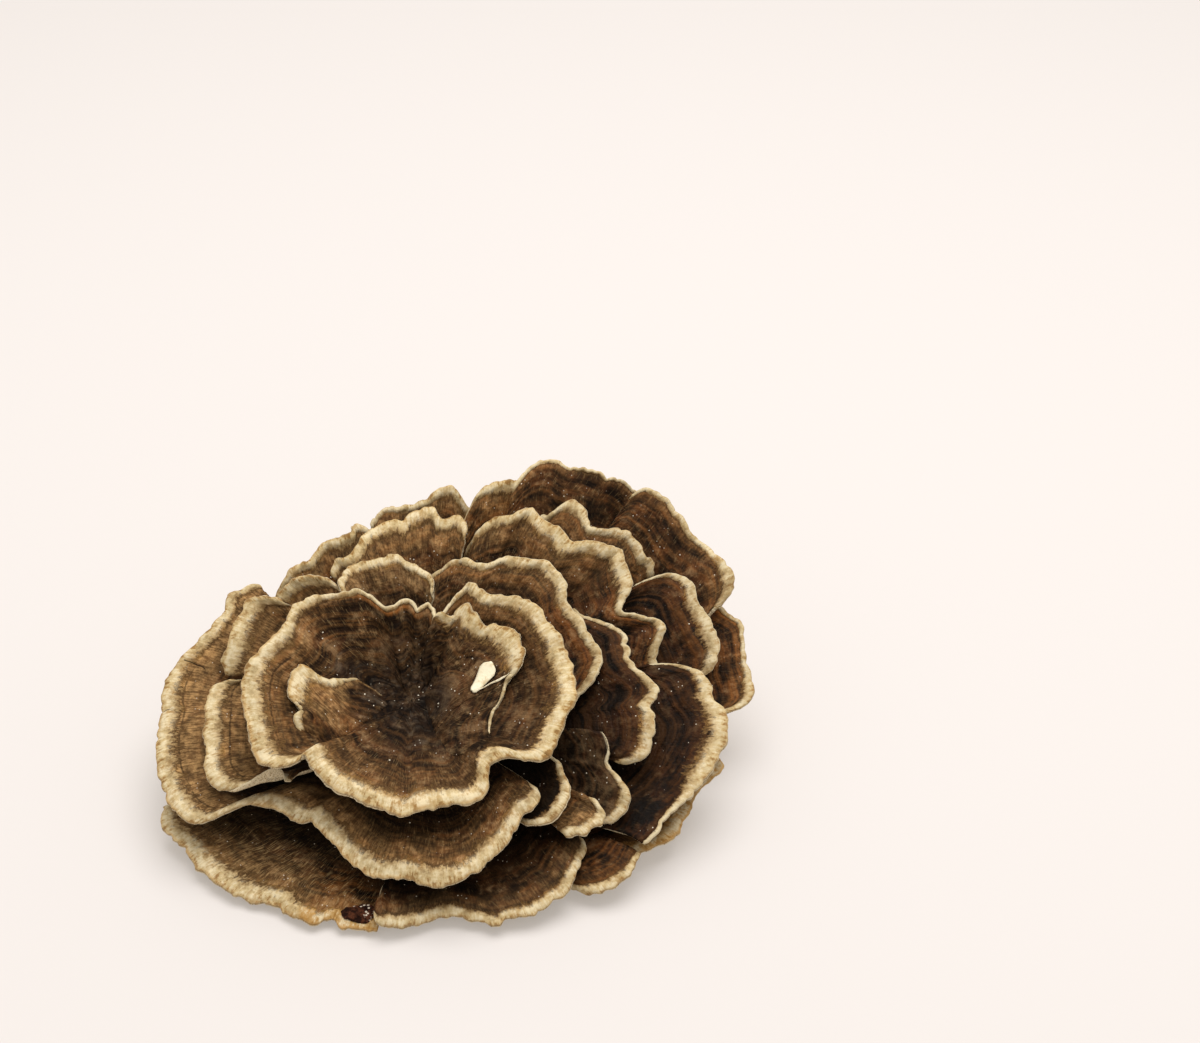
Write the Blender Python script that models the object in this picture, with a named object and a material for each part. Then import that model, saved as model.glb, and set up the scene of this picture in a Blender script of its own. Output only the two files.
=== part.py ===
# Turkey tail fungus: a rosette of thin, wavy, overlapping caps on one woody foot, cut off flat below.
# Metres, +Z up. The origin is the middle of the flat cut, +X runs to the right, +Y to the high rear caps.
import math

import bmesh
import bpy
from mathutils import Vector
from mathutils.bvhtree import BVHTree

MM = 0.001
ROOT_THICKNESS = 2.1
RIM_THICKNESS = 1.3
GAP = 0.3
FOOT_HEIGHT = 36.0
FOOT_PROFILE = ((0, 18.5), (2, 18), (5, 16), (10, 13.5), (16, 11.5), (23, 10), (30, 8), (FOOT_HEIGHT, 5))
FOOT_LUMPS = ((3, 0.045, 0.4), (5, 0.035, 2.1), (8, 0.02, 5.0))
FOOT_SEGMENTS = 20
ROOT_DEPTH = 3.0
CROWN_CENTRE = (236, 5.4, 24)
CLEARANCE_TOP = 60.0
FINE_ACROSS = 12
FINE_PER_CELL = 3
SIDE_REACH = 1.2
LOBE_REACH = 0.4
LOBE_THICKNESS = 1.0
SMOOTHING_ROUNDS = 24
LOWEST = 1.3
STEEPEST = 0.5

# Each cap: the stretch of foot that it grows from as (first bearing, last bearing, first height, last
# height), its rim as (bearing in degrees, reach in mm, height in mm) about the origin, how far its
# middle sags (cup) and its margin rolls over (lip) in mm, and its number of cells along the rim and
# across. The caps are listed from the top of the rosette down.
CAPS = {
    "crown_cap": dict(
        closed=True, cup=1.5, lip=0.8, cells=(42, 4), colour=(0.075, 0.045, 0.030),
        rim=[(317, 33, 25), (325, 32, 27), (333, 31.5, 29), (340, 31, 31), (348, 29.5, 32.5), (357, 27, 34.5),
             (5, 25.5, 36.5), (15, 23.5, 38), (24, 22, 39), (34, 18, 39.5), (39, 16, 39.5), (56, 15, 40.5),
             (60, 12, 40), (65, 9, 38.5), (72, 6.4, 37.5), (82, 8, 38.5), (94, 8.5, 39), (105, 7.3, 38.4),
             (113, 10, 39), (125, 10.5, 39), (138, 10.5, 38.5), (140, 13.5, 39), (141, 17.5, 40),
             (149, 20, 40), (154, 23.5, 39.5), (160, 26.5, 39), (167, 28.5, 38), (174, 29, 36.5),
             (181, 32, 35), (187, 35, 33.5), (195, 36.5, 31), (205, 37.5, 28.5), (213, 38.5, 26),
             (218, 38.5, 24.5), (223, 36, 24.5), (225, 33, 25), (226, 31.5, 25), (229, 32.5, 24),
             (236, 33, 23), (245, 33, 21.5), (257, 33, 20.5), (265, 34, 19.7), (270, 32.5, 20.5),
             (279, 32, 20.7), (287, 33, 21), (293, 32, 22), (297, 28.5, 24), (300, 27.3, 24.6),
             (307, 28, 25), (311, 31, 25)]),
    "back_cap_inner_left": dict(
        foot=(142, 102, 26, 27), cup=1.0, lip=0.6, cells=(9, 4), colour=(0.080, 0.050, 0.034),
        rim=[(143, 22.5, 38), (138, 25, 38.5), (128, 26.5, 39), (116, 24, 40), (108, 23.5, 40.5),
             (104, 21.5, 40), (95, 18.5, 40), (89, 16, 39.5), (87, 13, 38)]),
    "back_cap_inner_right": dict(
        foot=(100, -8, 27, 20), cup=1.0, lip=0.6, cells=(15, 4), colour=(0.072, 0.044, 0.030),
        rim=[(92, 21.5, 34.5), (87, 23, 36), (80, 24, 38), (73, 23.5, 39.5), (60, 22.5, 40.5), (55, 26, 41),
             (46, 29, 40.5), (43, 31.5, 40), (39, 32, 39), (32, 32, 37.5), (25, 30.5, 35), (18, 32, 33),
             (11, 33.5, 31), (5, 34.5, 29.5), (-1, 33.5, 28.5), (-5, 32, 27), (-10, 30, 25.5)]),
    "left_cap_lower": dict(
        foot=(178, 214, 20, 19.5), cup=1.5, lip=1.0, cells=(12, 4), colour=(0.085, 0.052, 0.036),
        rim=[(176, 39.5, 24), (177, 43.5, 22.5), (183, 44, 22), (193, 44.5, 21), (203, 46, 19.5),
             (208, 46.5, 18.5), (211, 45, 17.5), (214, 41, 17), (217, 37.5, 17.5), (219, 34.5, 18.5),
             (221, 33.5, 19)]),
    "left_cap_upper": dict(
        foot=(148, 170, 22, 20.5), cup=1.5, lip=0.8, cells=(9, 4), colour=(0.085, 0.054, 0.037),
        rim=[(152, 35, 34), (152.5, 40, 33), (154, 42, 31.5), (158, 42.5, 29.5), (163, 42.5, 27.5),
             (166, 42.5, 25.5), (168, 43, 23.5), (170, 42.5, 21.5)]),
    "left_cap_back": dict(
        foot=(136, 148, 22, 20), cup=1.5, lip=0.8, cells=(8, 4), colour=(0.085, 0.055, 0.038),
        rim=[(137, 26, 37.5), (138, 30, 37), (139, 34, 35.5), (140, 37, 33.5), (141.5, 39, 31.5), (144, 41, 29)]),
    "back_cap_left": dict(
        foot=(129, 90, 20, 22), cup=1.5, lip=0.8, cells=(15, 4), colour=(0.078, 0.048, 0.033),
        rim=[(132, 31.5, 35), (128, 32, 37), (126, 30, 38.5), (121, 30.5, 40), (117, 32, 41), (112, 33, 42),
             (105, 33, 43), (102, 32.5, 42.5), (98, 33.5, 43.5), (91, 34.5, 44.5), (89, 32.7, 44),
             (85, 31.7, 44), (82, 33, 44), (79, 32, 43.5), (77, 30, 42.5)]),
    "left_front_cap": dict(
        foot=(142, 312, 14, 19.5), cup=1.0, lip=1.2, cells=(30, 4), colour=(0.088, 0.056, 0.040),
        rim=[(143, 46, 30.5), (143, 47, 31), (147, 48.5, 29.5), (149, 50, 28.5), (152, 49, 26.5),
             (157, 50, 24), (161, 52.5, 21.5), (167, 55, 18.5), (174, 55, 16.5), (178, 54, 15.5),
             (186, 54.5, 14.5), (193, 54.5, 13.5), (201, 54, 12.5), (208, 53, 12), (211, 50.5, 11.5),
             (213, 45.5, 13), (215, 41, 14), (220, 37.5, 13), (228, 36, 12), (230, 34.5, 12.5),
             (239, 35.5, 11.5), (250, 38.5, 10.5), (258, 40.5, 10), (267, 40.5, 10), (275, 42, 10),
             (283, 42, 11), (291, 39.5, 13), (294, 38.5, 13.5), (298, 37.5, 15), (303, 36, 17),
             (307, 36.5, 18), (310, 35, 18), (311, 33, 18.5)]),
    "small_curl_cap": dict(
        foot=(325, 305, 19, 16.7), cup=2.5, lip=0.3, cells=(11, 4), colour=(0.060, 0.040, 0.030),
        rim=[(326, 29, 20.5), (325.2, 32, 20), (322.5, 34.3, 19.5), (319, 37, 19), (316, 38.5, 18.5),
             (312, 39.2, 17.5), (309, 39.7, 16.5), (306, 38.6, 15.5), (304, 36.3, 14.5), (303, 34, 14)]),
    "small_cap_low": dict(
        foot=(317, 328, 14, 15.5), cup=0.5, lip=0.4, cells=(7, 3), colour=(0.090, 0.060, 0.040),
        rim=[(311.5, 41.5, 12.5), (314, 42.5, 12.8), (316.5, 44.3, 13), (319, 44.5, 13.5), (322, 44.3, 14),
             (323, 42.8, 15), (324, 40, 15.3)]),
    "small_cap_middle": dict(
        foot=(341, 325, 19.5, 12.2), cup=1.0, lip=0.6, cells=(10, 4), colour=(0.058, 0.040, 0.031),
        rim=[(339.5, 36, 23), (338.3, 37.7, 21.5), (337, 39, 19.5), (335, 39.7, 17.5), (333.5, 42.3, 16.5),
             (331, 45.4, 14.8), (329, 45.6, 13.2), (326.5, 45.2, 12), (324.5, 44, 11.5), (323.5, 41, 11.8)]),
    "right_cap_inner": dict(
        foot=(32, -17, 21, 17), cup=1.0, lip=0.8, cells=(14, 4), colour=(0.066, 0.042, 0.031),
        rim=[(31, 33.5, 31), (26, 34, 31), (22, 36, 31), (18, 38, 30.5), (15, 40, 30), (10, 40, 29),
             (4, 40, 28.5), (1, 42, 27.5), (-3, 45.5, 25.5), (-6, 45, 24.5), (-8, 43.8, 24), (-10, 45, 23),
             (-15, 45.7, 21), (-17, 45.6, 20), (-19.5, 44.8, 19), (-20.5, 43, 18.5), (-21, 41, 18)]),
    "right_cap_large": dict(
        foot=(8, -34, 15, 9.2), cup=1.5, lip=1.0, cells=(15, 4), colour=(0.070, 0.042, 0.030),
        rim=[(9.5, 44, 24), (9, 48.7, 24), (7.2, 51.5, 24), (6, 54, 23.5), (3, 56, 22.5), (0, 57, 21),
             (-3, 59, 19.5), (-6, 59.5, 18.5), (-9, 59, 17), (-14, 57.5, 15), (-18, 56, 14), (-22, 55, 13),
             (-27, 52.7, 12), (-32, 52.5, 11.5), (-35, 51.7, 11)]),
    "back_cap_centre": dict(
        foot=(86, 14, 20, 15), cup=2.0, lip=0.8, cells=(22, 4), colour=(0.066, 0.042, 0.030),
        rim=[(79, 28, 38), (76, 30.5, 41.5), (71, 31.5, 44), (68, 33, 44.5), (62, 35, 45), (59, 38.3, 45),
             (55, 38, 44), (51, 37.7, 43.5), (48, 38.4, 43), (45, 38.2, 42), (42, 38.5, 41.5), (40, 41, 41.5),
             (38, 43, 41), (36, 44.6, 40), (35, 46.7, 39), (32, 46, 37.5), (30, 46, 36), (27, 45.7, 35),
             (24.5, 43, 33.5), (22.5, 41, 31.5), (21.5, 44, 30.5), (20.5, 47, 29.5), (19.5, 49.5, 28.5),
             (18, 49.5, 28), (16, 48, 26), (14, 46.4, 24.5), (11, 46, 23), (10, 44, 22)]),
    "right_cap_upper": dict(
        foot=(32, 8, 13, 10), cup=2.5, lip=1.0, cells=(14, 4), colour=(0.068, 0.043, 0.031),
        rim=[(30, 47, 32), (29.5, 53, 33), (28.5, 56, 32.5), (26.5, 58, 32), (25, 58.5, 31), (23, 58.5, 29.5),
             (21, 59, 28), (18, 59.6, 26.5), (16, 60, 25), (14, 60, 23.5), (12, 59, 22), (11, 57.6, 20.5),
             (10.5, 55.8, 19.5)]),
    "back_cap_right": dict(
        foot=(62, 34, 14, 11.5), cup=2.5, lip=0.6, cells=(14, 4), colour=(0.070, 0.045, 0.032),
        rim=[(59, 42, 41), (56, 42.5, 42), (55, 44, 43), (53, 45.2, 44), (51, 46, 44), (48, 45.7, 43.5),
             (45, 45.2, 42.5), (43, 45.5, 41.5), (41, 48, 40.5), (39, 50.6, 40), (38, 52, 39), (36, 52.4, 37),
             (34.7, 52.2, 35.5), (34, 54, 34), (33, 54, 32.5), (32.5, 53.4, 30), (31.5, 51.6, 28.5)]),
    "bottom_cap_front": dict(
        foot=(319, 258, 8.2, 6.5), cup=0.5, lip=1.0, cells=(16, 4), colour=(0.080, 0.052, 0.038),
        rim=[(319, 38.5, 8), (317.5, 42.5, 7.5), (314, 44, 7), (311, 45.7, 7), (308, 46.8, 6.5), (305, 47.6, 5),
             (301, 47.7, 4.5), (298, 47.7, 3.5), (294, 47, 3), (291, 46.6, 2.8), (288, 46.8, 2.5),
             (284, 45, 2.5), (278, 43.2, 3), (275, 43, 2.5), (271, 44, 2.5), (266, 45.5, 2.8), (262, 46.5, 3.2),
             (260, 46, 3.8), (259, 43, 4.5)]),
    "bottom_cap_left": dict(
        foot=(190, 262, 8, 4.5), cup=1.0, lip=0.8, cells=(16, 4), colour=(0.075, 0.050, 0.038),
        rim=[(197, 54.3, 7), (201, 55.3, 5.5), (204, 55, 5), (207, 53.2, 4), (210, 52.6, 3.5), (216, 52.3, 3),
             (222, 52, 2.3), (228, 50, 2), (231, 48.5, 2), (235, 47.8, 2), (238, 48.2, 1.8), (243, 48, 1.8),
             (246, 47.4, 1.5), (248, 46, 1.8), (252, 46.6, 1.5), (258, 46, 1.5), (260, 45, 1.5)]),
    "right_front_cap": dict(
        foot=(327, 307, 6.3, 5), cup=0.5, lip=0.8, cells=(9, 4), colour=(0.075, 0.048, 0.034),
        rim=[(325, 51, 8.5), (323.5, 51.5, 8), (321, 52, 7), (318, 52, 6), (315, 51.5, 5), (313, 50.4, 4),
             (311, 48.5, 3), (310, 46, 2.5), (309, 44.3, 2.5)]),
    "bottom_cap_right": dict(
        foot=(-6, -28, 6, 3.6), cup=0.5, lip=0.6, cells=(10, 4), colour=(0.115, 0.075, 0.045),
        rim=[(-7, 58, 12), (-9, 59, 11), (-12, 57, 10), (-15, 54.6, 8), (-18, 54.6, 7), (-23, 53.8, 6),
             (-27, 52.8, 5.5), (-30, 51.4, 5), (-32, 50.3, 5), (-34, 48.8, 4.5)]),
    "rear_cap_right": dict(
        foot=(48, 18, 10, 8), cup=3.0, lip=0.6, cells=(14, 4), colour=(0.062, 0.042, 0.032),
        rim=[(45, 57, 43), (44, 60, 44), (41.5, 61, 43.5), (40, 62, 42.5), (39, 62.7, 41.5), (37, 63, 40.5),
             (35, 63.5, 39.5), (33, 64.5, 38), (31, 65.5, 36.5), (29, 65.5, 35.5), (27, 67, 34.5),
             (25, 67.2, 33), (23, 66.5, 31.5), (22, 64.5, 30.5), (21.5, 62.5, 30)]),
    "rear_cap_side": dict(
        foot=(20, 0, 7, 5), cup=2.0, lip=0.6, cells=(12, 4), colour=(0.070, 0.046, 0.034),
        rim=[(25, 61, 25), (24.3, 64, 25.5), (22.5, 65, 25), (21, 66.3, 24), (19, 66.8, 23), (17, 66.5, 21.5),
             (15, 66, 20), (13, 65.5, 18.5), (11, 66, 17), (8, 66, 15.5), (6.5, 64, 14.5), (5.5, 61.5, 14),
             (5, 59, 13.5)]),
    "rear_cap_centre": dict(
        foot=(74, 46, 9, 7), cup=3.0, lip=0.5, cells=(12, 4), colour=(0.060, 0.041, 0.031),
        rim=[(68, 43, 46), (65.5, 46.8, 48.8), (63, 49, 50), (60, 50.6, 50), (57, 50.4, 50), (54, 52, 50),
             (51.5, 53, 49), (49.5, 54, 47.5), (48.5, 57, 45.5), (47.5, 59, 43.5), (46.5, 60.5, 41)]),
    "rear_cap_left": dict(
        foot=(90, 68, 8.5, 7), cup=3.0, lip=0.5, cells=(9, 4), colour=(0.080, 0.055, 0.036),
        rim=[(82, 34, 38), (80, 37, 41), (78.6, 38.5, 43), (77.5, 40, 44.5), (75.5, 42, 45.5), (73, 44, 46),
             (70.5, 46, 45.5), (68.7, 47, 44.5), (66.5, 47.4, 43)]),
    "outer_cap_back": dict(
        foot=(118, 94, 7.5, 7), cup=3.0, lip=0.6, cells=(10, 4), colour=(0.078, 0.053, 0.036),
        rim=[(112, 35.5, 40), (110, 36.4, 42), (107, 37, 43.5), (102, 36.2, 44), (98, 36, 44.5), (94, 36.7, 45),
             (91, 38, 45.5), (88, 40, 46), (85, 40.3, 46.5), (82, 39.6, 45), (79, 40.2, 44.5)]),
    "outer_cap_left": dict(
        foot=(150, 121, 7.5, 6.5), cup=3.0, lip=0.6, cells=(11, 4), colour=(0.082, 0.056, 0.038),
        rim=[(142, 43, 29), (139, 42, 31), (137, 41.5, 32.5), (134, 41.3, 33.5), (132, 39.5, 34.5),
             (129, 40, 35.5), (125, 40, 37), (122, 38, 37.5), (118, 37, 39), (116, 38.6, 40), (114, 38.4, 40),
             (111, 37, 39.5)]),
}

# The two small inner lobes lie on the crown: their root and rim are (bearing, reach), their height follows
# from the crown, and their margin lifts off it by lift.
LOBES = {
    "crown_lobe_right": dict(
        root=[(110, 3), (261, 5.4), (279, 13.2), (285, 19.6)], lift=0.5, cells=(13, 3),
        colour=(0.085, 0.052, 0.036),
        rim=[(62, 6.5), (48, 11), (37, 11.2), (25, 12), (19, 14.9), (7, 17.5), (356, 19), (349, 18.6),
             (343, 16.6), (332, 16.6), (321, 16.5), (310, 19.9), (301, 23.8), (296, 23.2)]),
    "crown_lobe_left": dict(
        root=[(216, 9.3), (221, 14.5), (222, 20.5), (222, 24.8)], lift=0.5, cells=(12, 3),
        colour=(0.100, 0.060, 0.036),
        rim=[(204, 9), (194, 11), (190, 14), (191, 17), (191, 21), (188, 24), (189, 26), (194, 27.5),
             (199, 28.5), (203, 28), (207, 28.5), (210, 29), (212.5, 28)]),
}

FOOT_COLOUR = (0.210, 0.150, 0.095)


def clear_scene():
    for obj in list(bpy.data.objects):
        bpy.data.objects.remove(obj)


def place(bearing, reach, height):
    angle = math.radians(bearing)
    return Vector((reach * math.cos(angle), reach * math.sin(angle), height))


def between(table, x):
    """Straight interpolation in a table of (x, y) pairs."""
    for (x0, y0), (x1, y1) in zip(table, table[1:]):
        if x <= x1:
            return y0 + (y1 - y0) * (x - x0) / (x1 - x0)
    return table[-1][1]


def smooth_run(points, count, closed=False):
    """Evenly spaced points on a smooth curve through the given ones: count cells, count + 1 points."""
    if closed:
        points = points + points[:1]
        before, after = points[-2], points[1]
    else:
        before, after = 2 * points[0] - points[1], 2 * points[-1] - points[-2]
    knots = [before] + points + [after]
    dense = []
    for a, b, c, d in zip(knots, knots[1:], knots[2:], knots[3:]):
        for step in range(8):
            t = step / 8
            dense.append(0.5 * (2 * b + (c - a) * t + (2 * a - 5 * b + 4 * c - d) * t * t
                                + (3 * b - a - 3 * c + d) * t ** 3))
    dense.append(points[-1])
    along = [0.0]
    for a, b in zip(dense, dense[1:]):
        along.append(along[-1] + (b - a).length)
    run, k = [], 0
    for step in range(count + 1):
        target = along[-1] * step / count
        while k < len(dense) - 2 and along[k + 1] < target:
            k += 1
        share = (target - along[k]) / max(along[k + 1] - along[k], 1e-9)
        run.append(dense[k].lerp(dense[k + 1], min(share, 1.0)))
    return run


def foot_radius(height):
    return between(FOOT_PROFILE, height)


def root_run(cap, count):
    """Where the cap leaves the foot, the crown's middle or, for a lobe, the crown."""
    if cap.get("closed"):
        return [place(*CROWN_CENTRE)] * (count + 1)
    if "root" in cap:
        return smooth_run([place(*point, 0) for point in cap["root"]], count)
    first, last, low, high = cap["foot"]
    run = []
    for step in range(count + 1):
        share = step / count
        height = low + (high - low) * share
        run.append(place(first + (last - first) * share, foot_radius(height) - ROOT_DEPTH, height))
    return run


def sheet(cap, along, across):
    """The middle surface of a cap as rows of points, row 0 at its root and the last row at its rim."""
    heights = () if "foot" in cap or cap.get("closed") else (0,)
    rim = smooth_run([place(*point, *heights) for point in cap["rim"]], along, cap.get("closed", False))
    root = root_run(cap, along)
    rows = []
    for j in range(across + 1):
        t = j / across
        rise = t ** 1.5 if cap.get("closed") else t
        fold = cap.get("lip", 0) * t ** 5 * (1 - t) / 0.067 - cap.get("cup", 0) * math.sin(math.pi * t)
        row = []
        for a, b in zip(root, rim):
            point = a.lerp(b, t)
            point.z = a.z + (b.z - a.z) * rise + fold
            row.append(point)
        rows.append(row)
    return rows


def thickness(t):
    return ROOT_THICKNESS + (RIM_THICKNESS - ROOT_THICKNESS) * t


def tree_of(sheets):
    points, faces = [], []
    for rows in sheets:
        first, width = len(points), len(rows[0])
        for row in rows:
            points += row
        for j in range(len(rows) - 1):
            for i in range(width - 1):
                a = first + j * width + i
                faces.append((a, a + 1, a + width + 1, a + width))
    return BVHTree.FromPolygons(points, faces)


def room_at(tree, point, half, upward):
    """The height that leaves a sheet's half thickness and a gap to the nearest sheet of the tree."""
    start = Vector((point.x, point.y, -50.0 if upward else 150.0))
    hit, normal, _, _ = tree.ray_cast(start, Vector((0, 0, 1 if upward else -1)))
    if hit is None:
        return None
    clearance = half / max(abs(normal.z), STEEPEST) + GAP
    return hit.z - clearance if upward else hit.z + clearance


def offsets(reach):
    return [Vector(step) * reach for step in ((0, 0, 0), (1, 0, 0), (-1, 0, 0), (0, 1, 0), (0, -1, 0))]


def settle(rows, tree):
    """Moves a sheet down, smoothly, until it clears the sheets of the tree."""
    width, across = len(rows[0]), len(rows) - 1
    need = []
    for j, row in enumerate(rows):
        half = (ROOT_THICKNESS + thickness(j / across)) / 2
        line = []
        for point in row:
            rooms = [room_at(tree, point + step, half, True) for step in offsets(SIDE_REACH)]
            moves = [point.z - room for room in rooms if room is not None]
            line.append(max([0.0] + moves))
        need.append(line)
    move = [line[:] for line in need]
    for _ in range(SMOOTHING_ROUNDS):
        before = move
        move = []
        for j in range(across + 1):
            low, high = max(j - 1, 0), min(j + 1, across)
            line = []
            for i in range(width):
                left, right = max(i - 1, 0), min(i + 1, width - 1)
                mean = (before[low][i] + before[high][i] + before[j][left] + before[j][right]) / 4
                line.append(max(need[j][i], mean))
            move.append(line)
    for row, line in zip(rows, move):
        for point, drop in zip(row, line):
            point.z = max(point.z - drop, LOWEST)
    return max(max(line) for line in move), max(move[-1])


def lay_on(rows, tree, lift):
    """Lays a lobe on the crown's sheet, its margin lifted a little more."""
    for j, row in enumerate(rows):
        half = (ROOT_THICKNESS + LOBE_THICKNESS) / 2
        for point in row:
            rooms = [room_at(tree, point + step, half, False) for step in offsets(LOBE_REACH)]
            point.z = max(room for room in rooms if room is not None) + lift * (j / (len(rows) - 1)) ** 2


def make_material(name, colour, roughness):
    material = bpy.data.materials.new(name)
    material.use_nodes = True
    shader = material.node_tree.nodes["Principled BSDF"]
    shader.inputs["Base Color"].default_value = (*colour, 1.0)
    shader.inputs["Roughness"].default_value = roughness
    shader.inputs["Metallic"].default_value = 0.0
    return material


def finish(name, bm, colour, roughness, helper=False):
    mesh = bpy.data.meshes.new(name)
    bm.to_mesh(mesh)
    bm.free()
    mesh.materials.append(make_material(name, colour, roughness))
    mesh.shade_smooth()
    obj = bpy.data.objects.new(name, mesh)
    bpy.context.scene.collection.objects.link(obj)
    if helper:
        obj.hide_render = True
        obj.display_type = "WIRE"
    return obj


def grid_mesh(rows):
    """A grid laid over the rows of points, welded where points coincide, facing up."""
    across, along = len(rows) - 1, len(rows[0]) - 1
    bm = bmesh.new()
    bmesh.ops.create_grid(bm, x_segments=along, y_segments=across, size=1)
    level = bm.verts.layers.float.new("level")
    for vert in bm.verts:
        i = round((vert.co.x + 1) / 2 * along)
        j = round((vert.co.y + 1) / 2 * across)
        vert[level] = j / across
        vert.co = rows[j][i] * MM
    bmesh.ops.remove_doubles(bm, verts=bm.verts, dist=1e-6)
    bm.normal_update()
    if sum(face.normal.z * face.calc_area() for face in bm.faces) < 0:
        bmesh.ops.reverse_faces(bm, faces=bm.faces)
        bm.normal_update()
    return bm, level


def thicken(bm, offsets):
    """Closes a sheet to a solid: offsets gives the (upper, lower) points of each vertex."""
    number = bm.verts.layers.int.new("number")
    pairs = []
    for index, vert in enumerate(bm.verts):
        vert[number] = index
        pairs.append(offsets(vert))
    made = bmesh.ops.extrude_face_region(bm, geom=bm.faces[:], use_keep_orig=True)["geom"]
    lower = {item for item in made if isinstance(item, bmesh.types.BMVert)}
    for vert in bm.verts:
        vert.co = pairs[vert[number]][vert in lower]
    bmesh.ops.recalc_face_normals(bm, faces=bm.faces)


def cap_solid(name, cap, rows):
    bm, level = grid_mesh(rows)

    def faces_of(vert):
        deep = LOBE_THICKNESS if "lift" in cap else thickness(vert[level])
        shift = Vector((0, 0, deep / 2 / max(vert.normal.z, STEEPEST) * MM))
        return vert.co + shift, vert.co - shift

    thicken(bm, faces_of)
    return finish(name, bm, cap["colour"], 0.7)


def crown_clearance(rows):
    """All the space over the crown's underside, with the gap, to take off the top of the foot."""
    bm, level = grid_mesh(rows)

    def space_of(vert):
        drop = (thickness(vert[level]) / 2 / max(vert.normal.z, STEEPEST) + GAP) * MM
        low = vert.co - Vector((0, 0, drop))
        return Vector((low.x, low.y, CLEARANCE_TOP * MM)), low

    thicken(bm, space_of)
    return finish("crown_clearance", bm, FOOT_COLOUR, 0.9, helper=True)


def foot_rows(grow, base):
    """Rings of the foot from the middle of its flat cut up to the middle of its top."""
    rings = [(0.0, 0.0)] + [(radius + grow, height) for height, radius in FOOT_PROFILE]
    rings.append((0.0, FOOT_HEIGHT))
    rows = []
    for radius, height in rings:
        row = []
        for step in range(FOOT_SEGMENTS + 1):
            angle = 2 * math.pi * (step % FOOT_SEGMENTS) / FOOT_SEGMENTS
            lumps = sum(size * math.sin(count * angle + shift) for count, size, shift in FOOT_LUMPS)
            row.append(place(math.degrees(angle), radius * (1 + lumps), height if height > 0 else base))
        rows.append(row)
    return rows


def foot_mesh(grow, base):
    bm, _ = grid_mesh(foot_rows(grow, base))
    bmesh.ops.recalc_face_normals(bm, faces=bm.faces)
    return bm


def cut(obj, cutter):
    modifier = obj.modifiers.new("cut_" + cutter.name, "BOOLEAN")
    modifier.operation = "DIFFERENCE"
    modifier.solver = "EXACT"
    modifier.object = cutter


def settled_sheets():
    """The fine sheets of all caps from the top down, each under those above it, and the lobes on the crown."""
    fine = {}
    for name, cap in CAPS.items():
        rows = sheet(cap, cap["cells"][0] * FINE_PER_CELL, FINE_ACROSS)
        if fine:
            most, rim = settle(rows, tree_of(fine.values()))
            print(f"{name}: lowered by up to {most:.1f} mm, at the rim {rim:.1f} mm")
        fine[name] = rows
    crown = tree_of([fine["crown_cap"]])
    for name, lobe in LOBES.items():
        rows = sheet(lobe, lobe["cells"][0] * FINE_PER_CELL, FINE_ACROSS)
        lay_on(rows, crown, lobe["lift"])
        fine[name] = rows
    return fine


def coarse(rows, cells):
    """Every third point along and the rows that the solid's cells need."""
    along, across = cells
    step = FINE_ACROSS // across
    return [row[::FINE_PER_CELL] for row in rows[::step]]


def main():
    clear_scene()
    fine = settled_sheets()
    clearance = finish("foot_clearance", foot_mesh(GAP, -1.0), FOOT_COLOUR, 0.9, helper=True)
    for name, cap in {**CAPS, **LOBES}.items():
        obj = cap_solid(name, cap, coarse(fine[name], cap["cells"]))
        if "foot" in cap:
            cut(obj, clearance)
    foot = finish("foot", foot_mesh(0.0, 0.0), FOOT_COLOUR, 0.9)
    cut(foot, crown_clearance(coarse(fine["crown_cap"], CAPS["crown_cap"]["cells"])))


main()
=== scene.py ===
import math

import bmesh
import bpy
import numpy as np
from mathutils import Matrix, Vector
from mathutils.bvhtree import BVHTree


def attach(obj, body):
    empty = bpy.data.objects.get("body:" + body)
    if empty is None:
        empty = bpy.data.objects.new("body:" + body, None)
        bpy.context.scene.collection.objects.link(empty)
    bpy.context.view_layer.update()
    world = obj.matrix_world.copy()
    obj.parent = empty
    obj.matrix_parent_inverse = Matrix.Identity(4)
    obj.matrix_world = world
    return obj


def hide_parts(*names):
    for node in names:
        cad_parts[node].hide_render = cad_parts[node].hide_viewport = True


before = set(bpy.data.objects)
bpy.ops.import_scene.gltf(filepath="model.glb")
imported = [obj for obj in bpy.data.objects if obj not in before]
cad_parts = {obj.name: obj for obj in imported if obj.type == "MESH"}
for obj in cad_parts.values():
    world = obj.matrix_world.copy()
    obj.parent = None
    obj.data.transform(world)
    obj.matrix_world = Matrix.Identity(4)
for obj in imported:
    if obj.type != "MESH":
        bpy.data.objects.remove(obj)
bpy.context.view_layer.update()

mm = 0.001

# Lengths are in millimetres unless a name says otherwise. Bearings are in degrees, 0 to the right and
# 90 to the back; heights are above the cut.

flesh = dict(
    rootThickness=2.1, rimThickness=1.3, lobeThickness=1.0,
    gap=0.3,                # left between two caps
    rows=12, perCell=3,     # rows from root to rim, and columns per cell, of the sheets as they settle
    sideReach=1.2, lobeReach=0.4, smoothing=24, lowest=1.3, steepest=0.5,
    columnWidth=0.45,       # of the finished mesh
    rimRows=(0, 0.05, 0.15, 0.3, 0.5, 0.75, 1.05, 1.4, 1.8, 2.25, 2.75, 3.3, 3.9, 4.5, 5.2, 5.9, 6.7, 7.5),
    rimRowsFrom=15,         # a shorter cap has its rim rows closer together
    bodyRows=30,
)
crownCentre = (236, 5.4, 24)
# painted shade: the crown is painted dark round its centre and along a strip towards far
hollowShade = dict(far=(-11.0, 3.3), wide=26.0, taper=15.0, onLobes=0.62)    # the dark part of the crown

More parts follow.
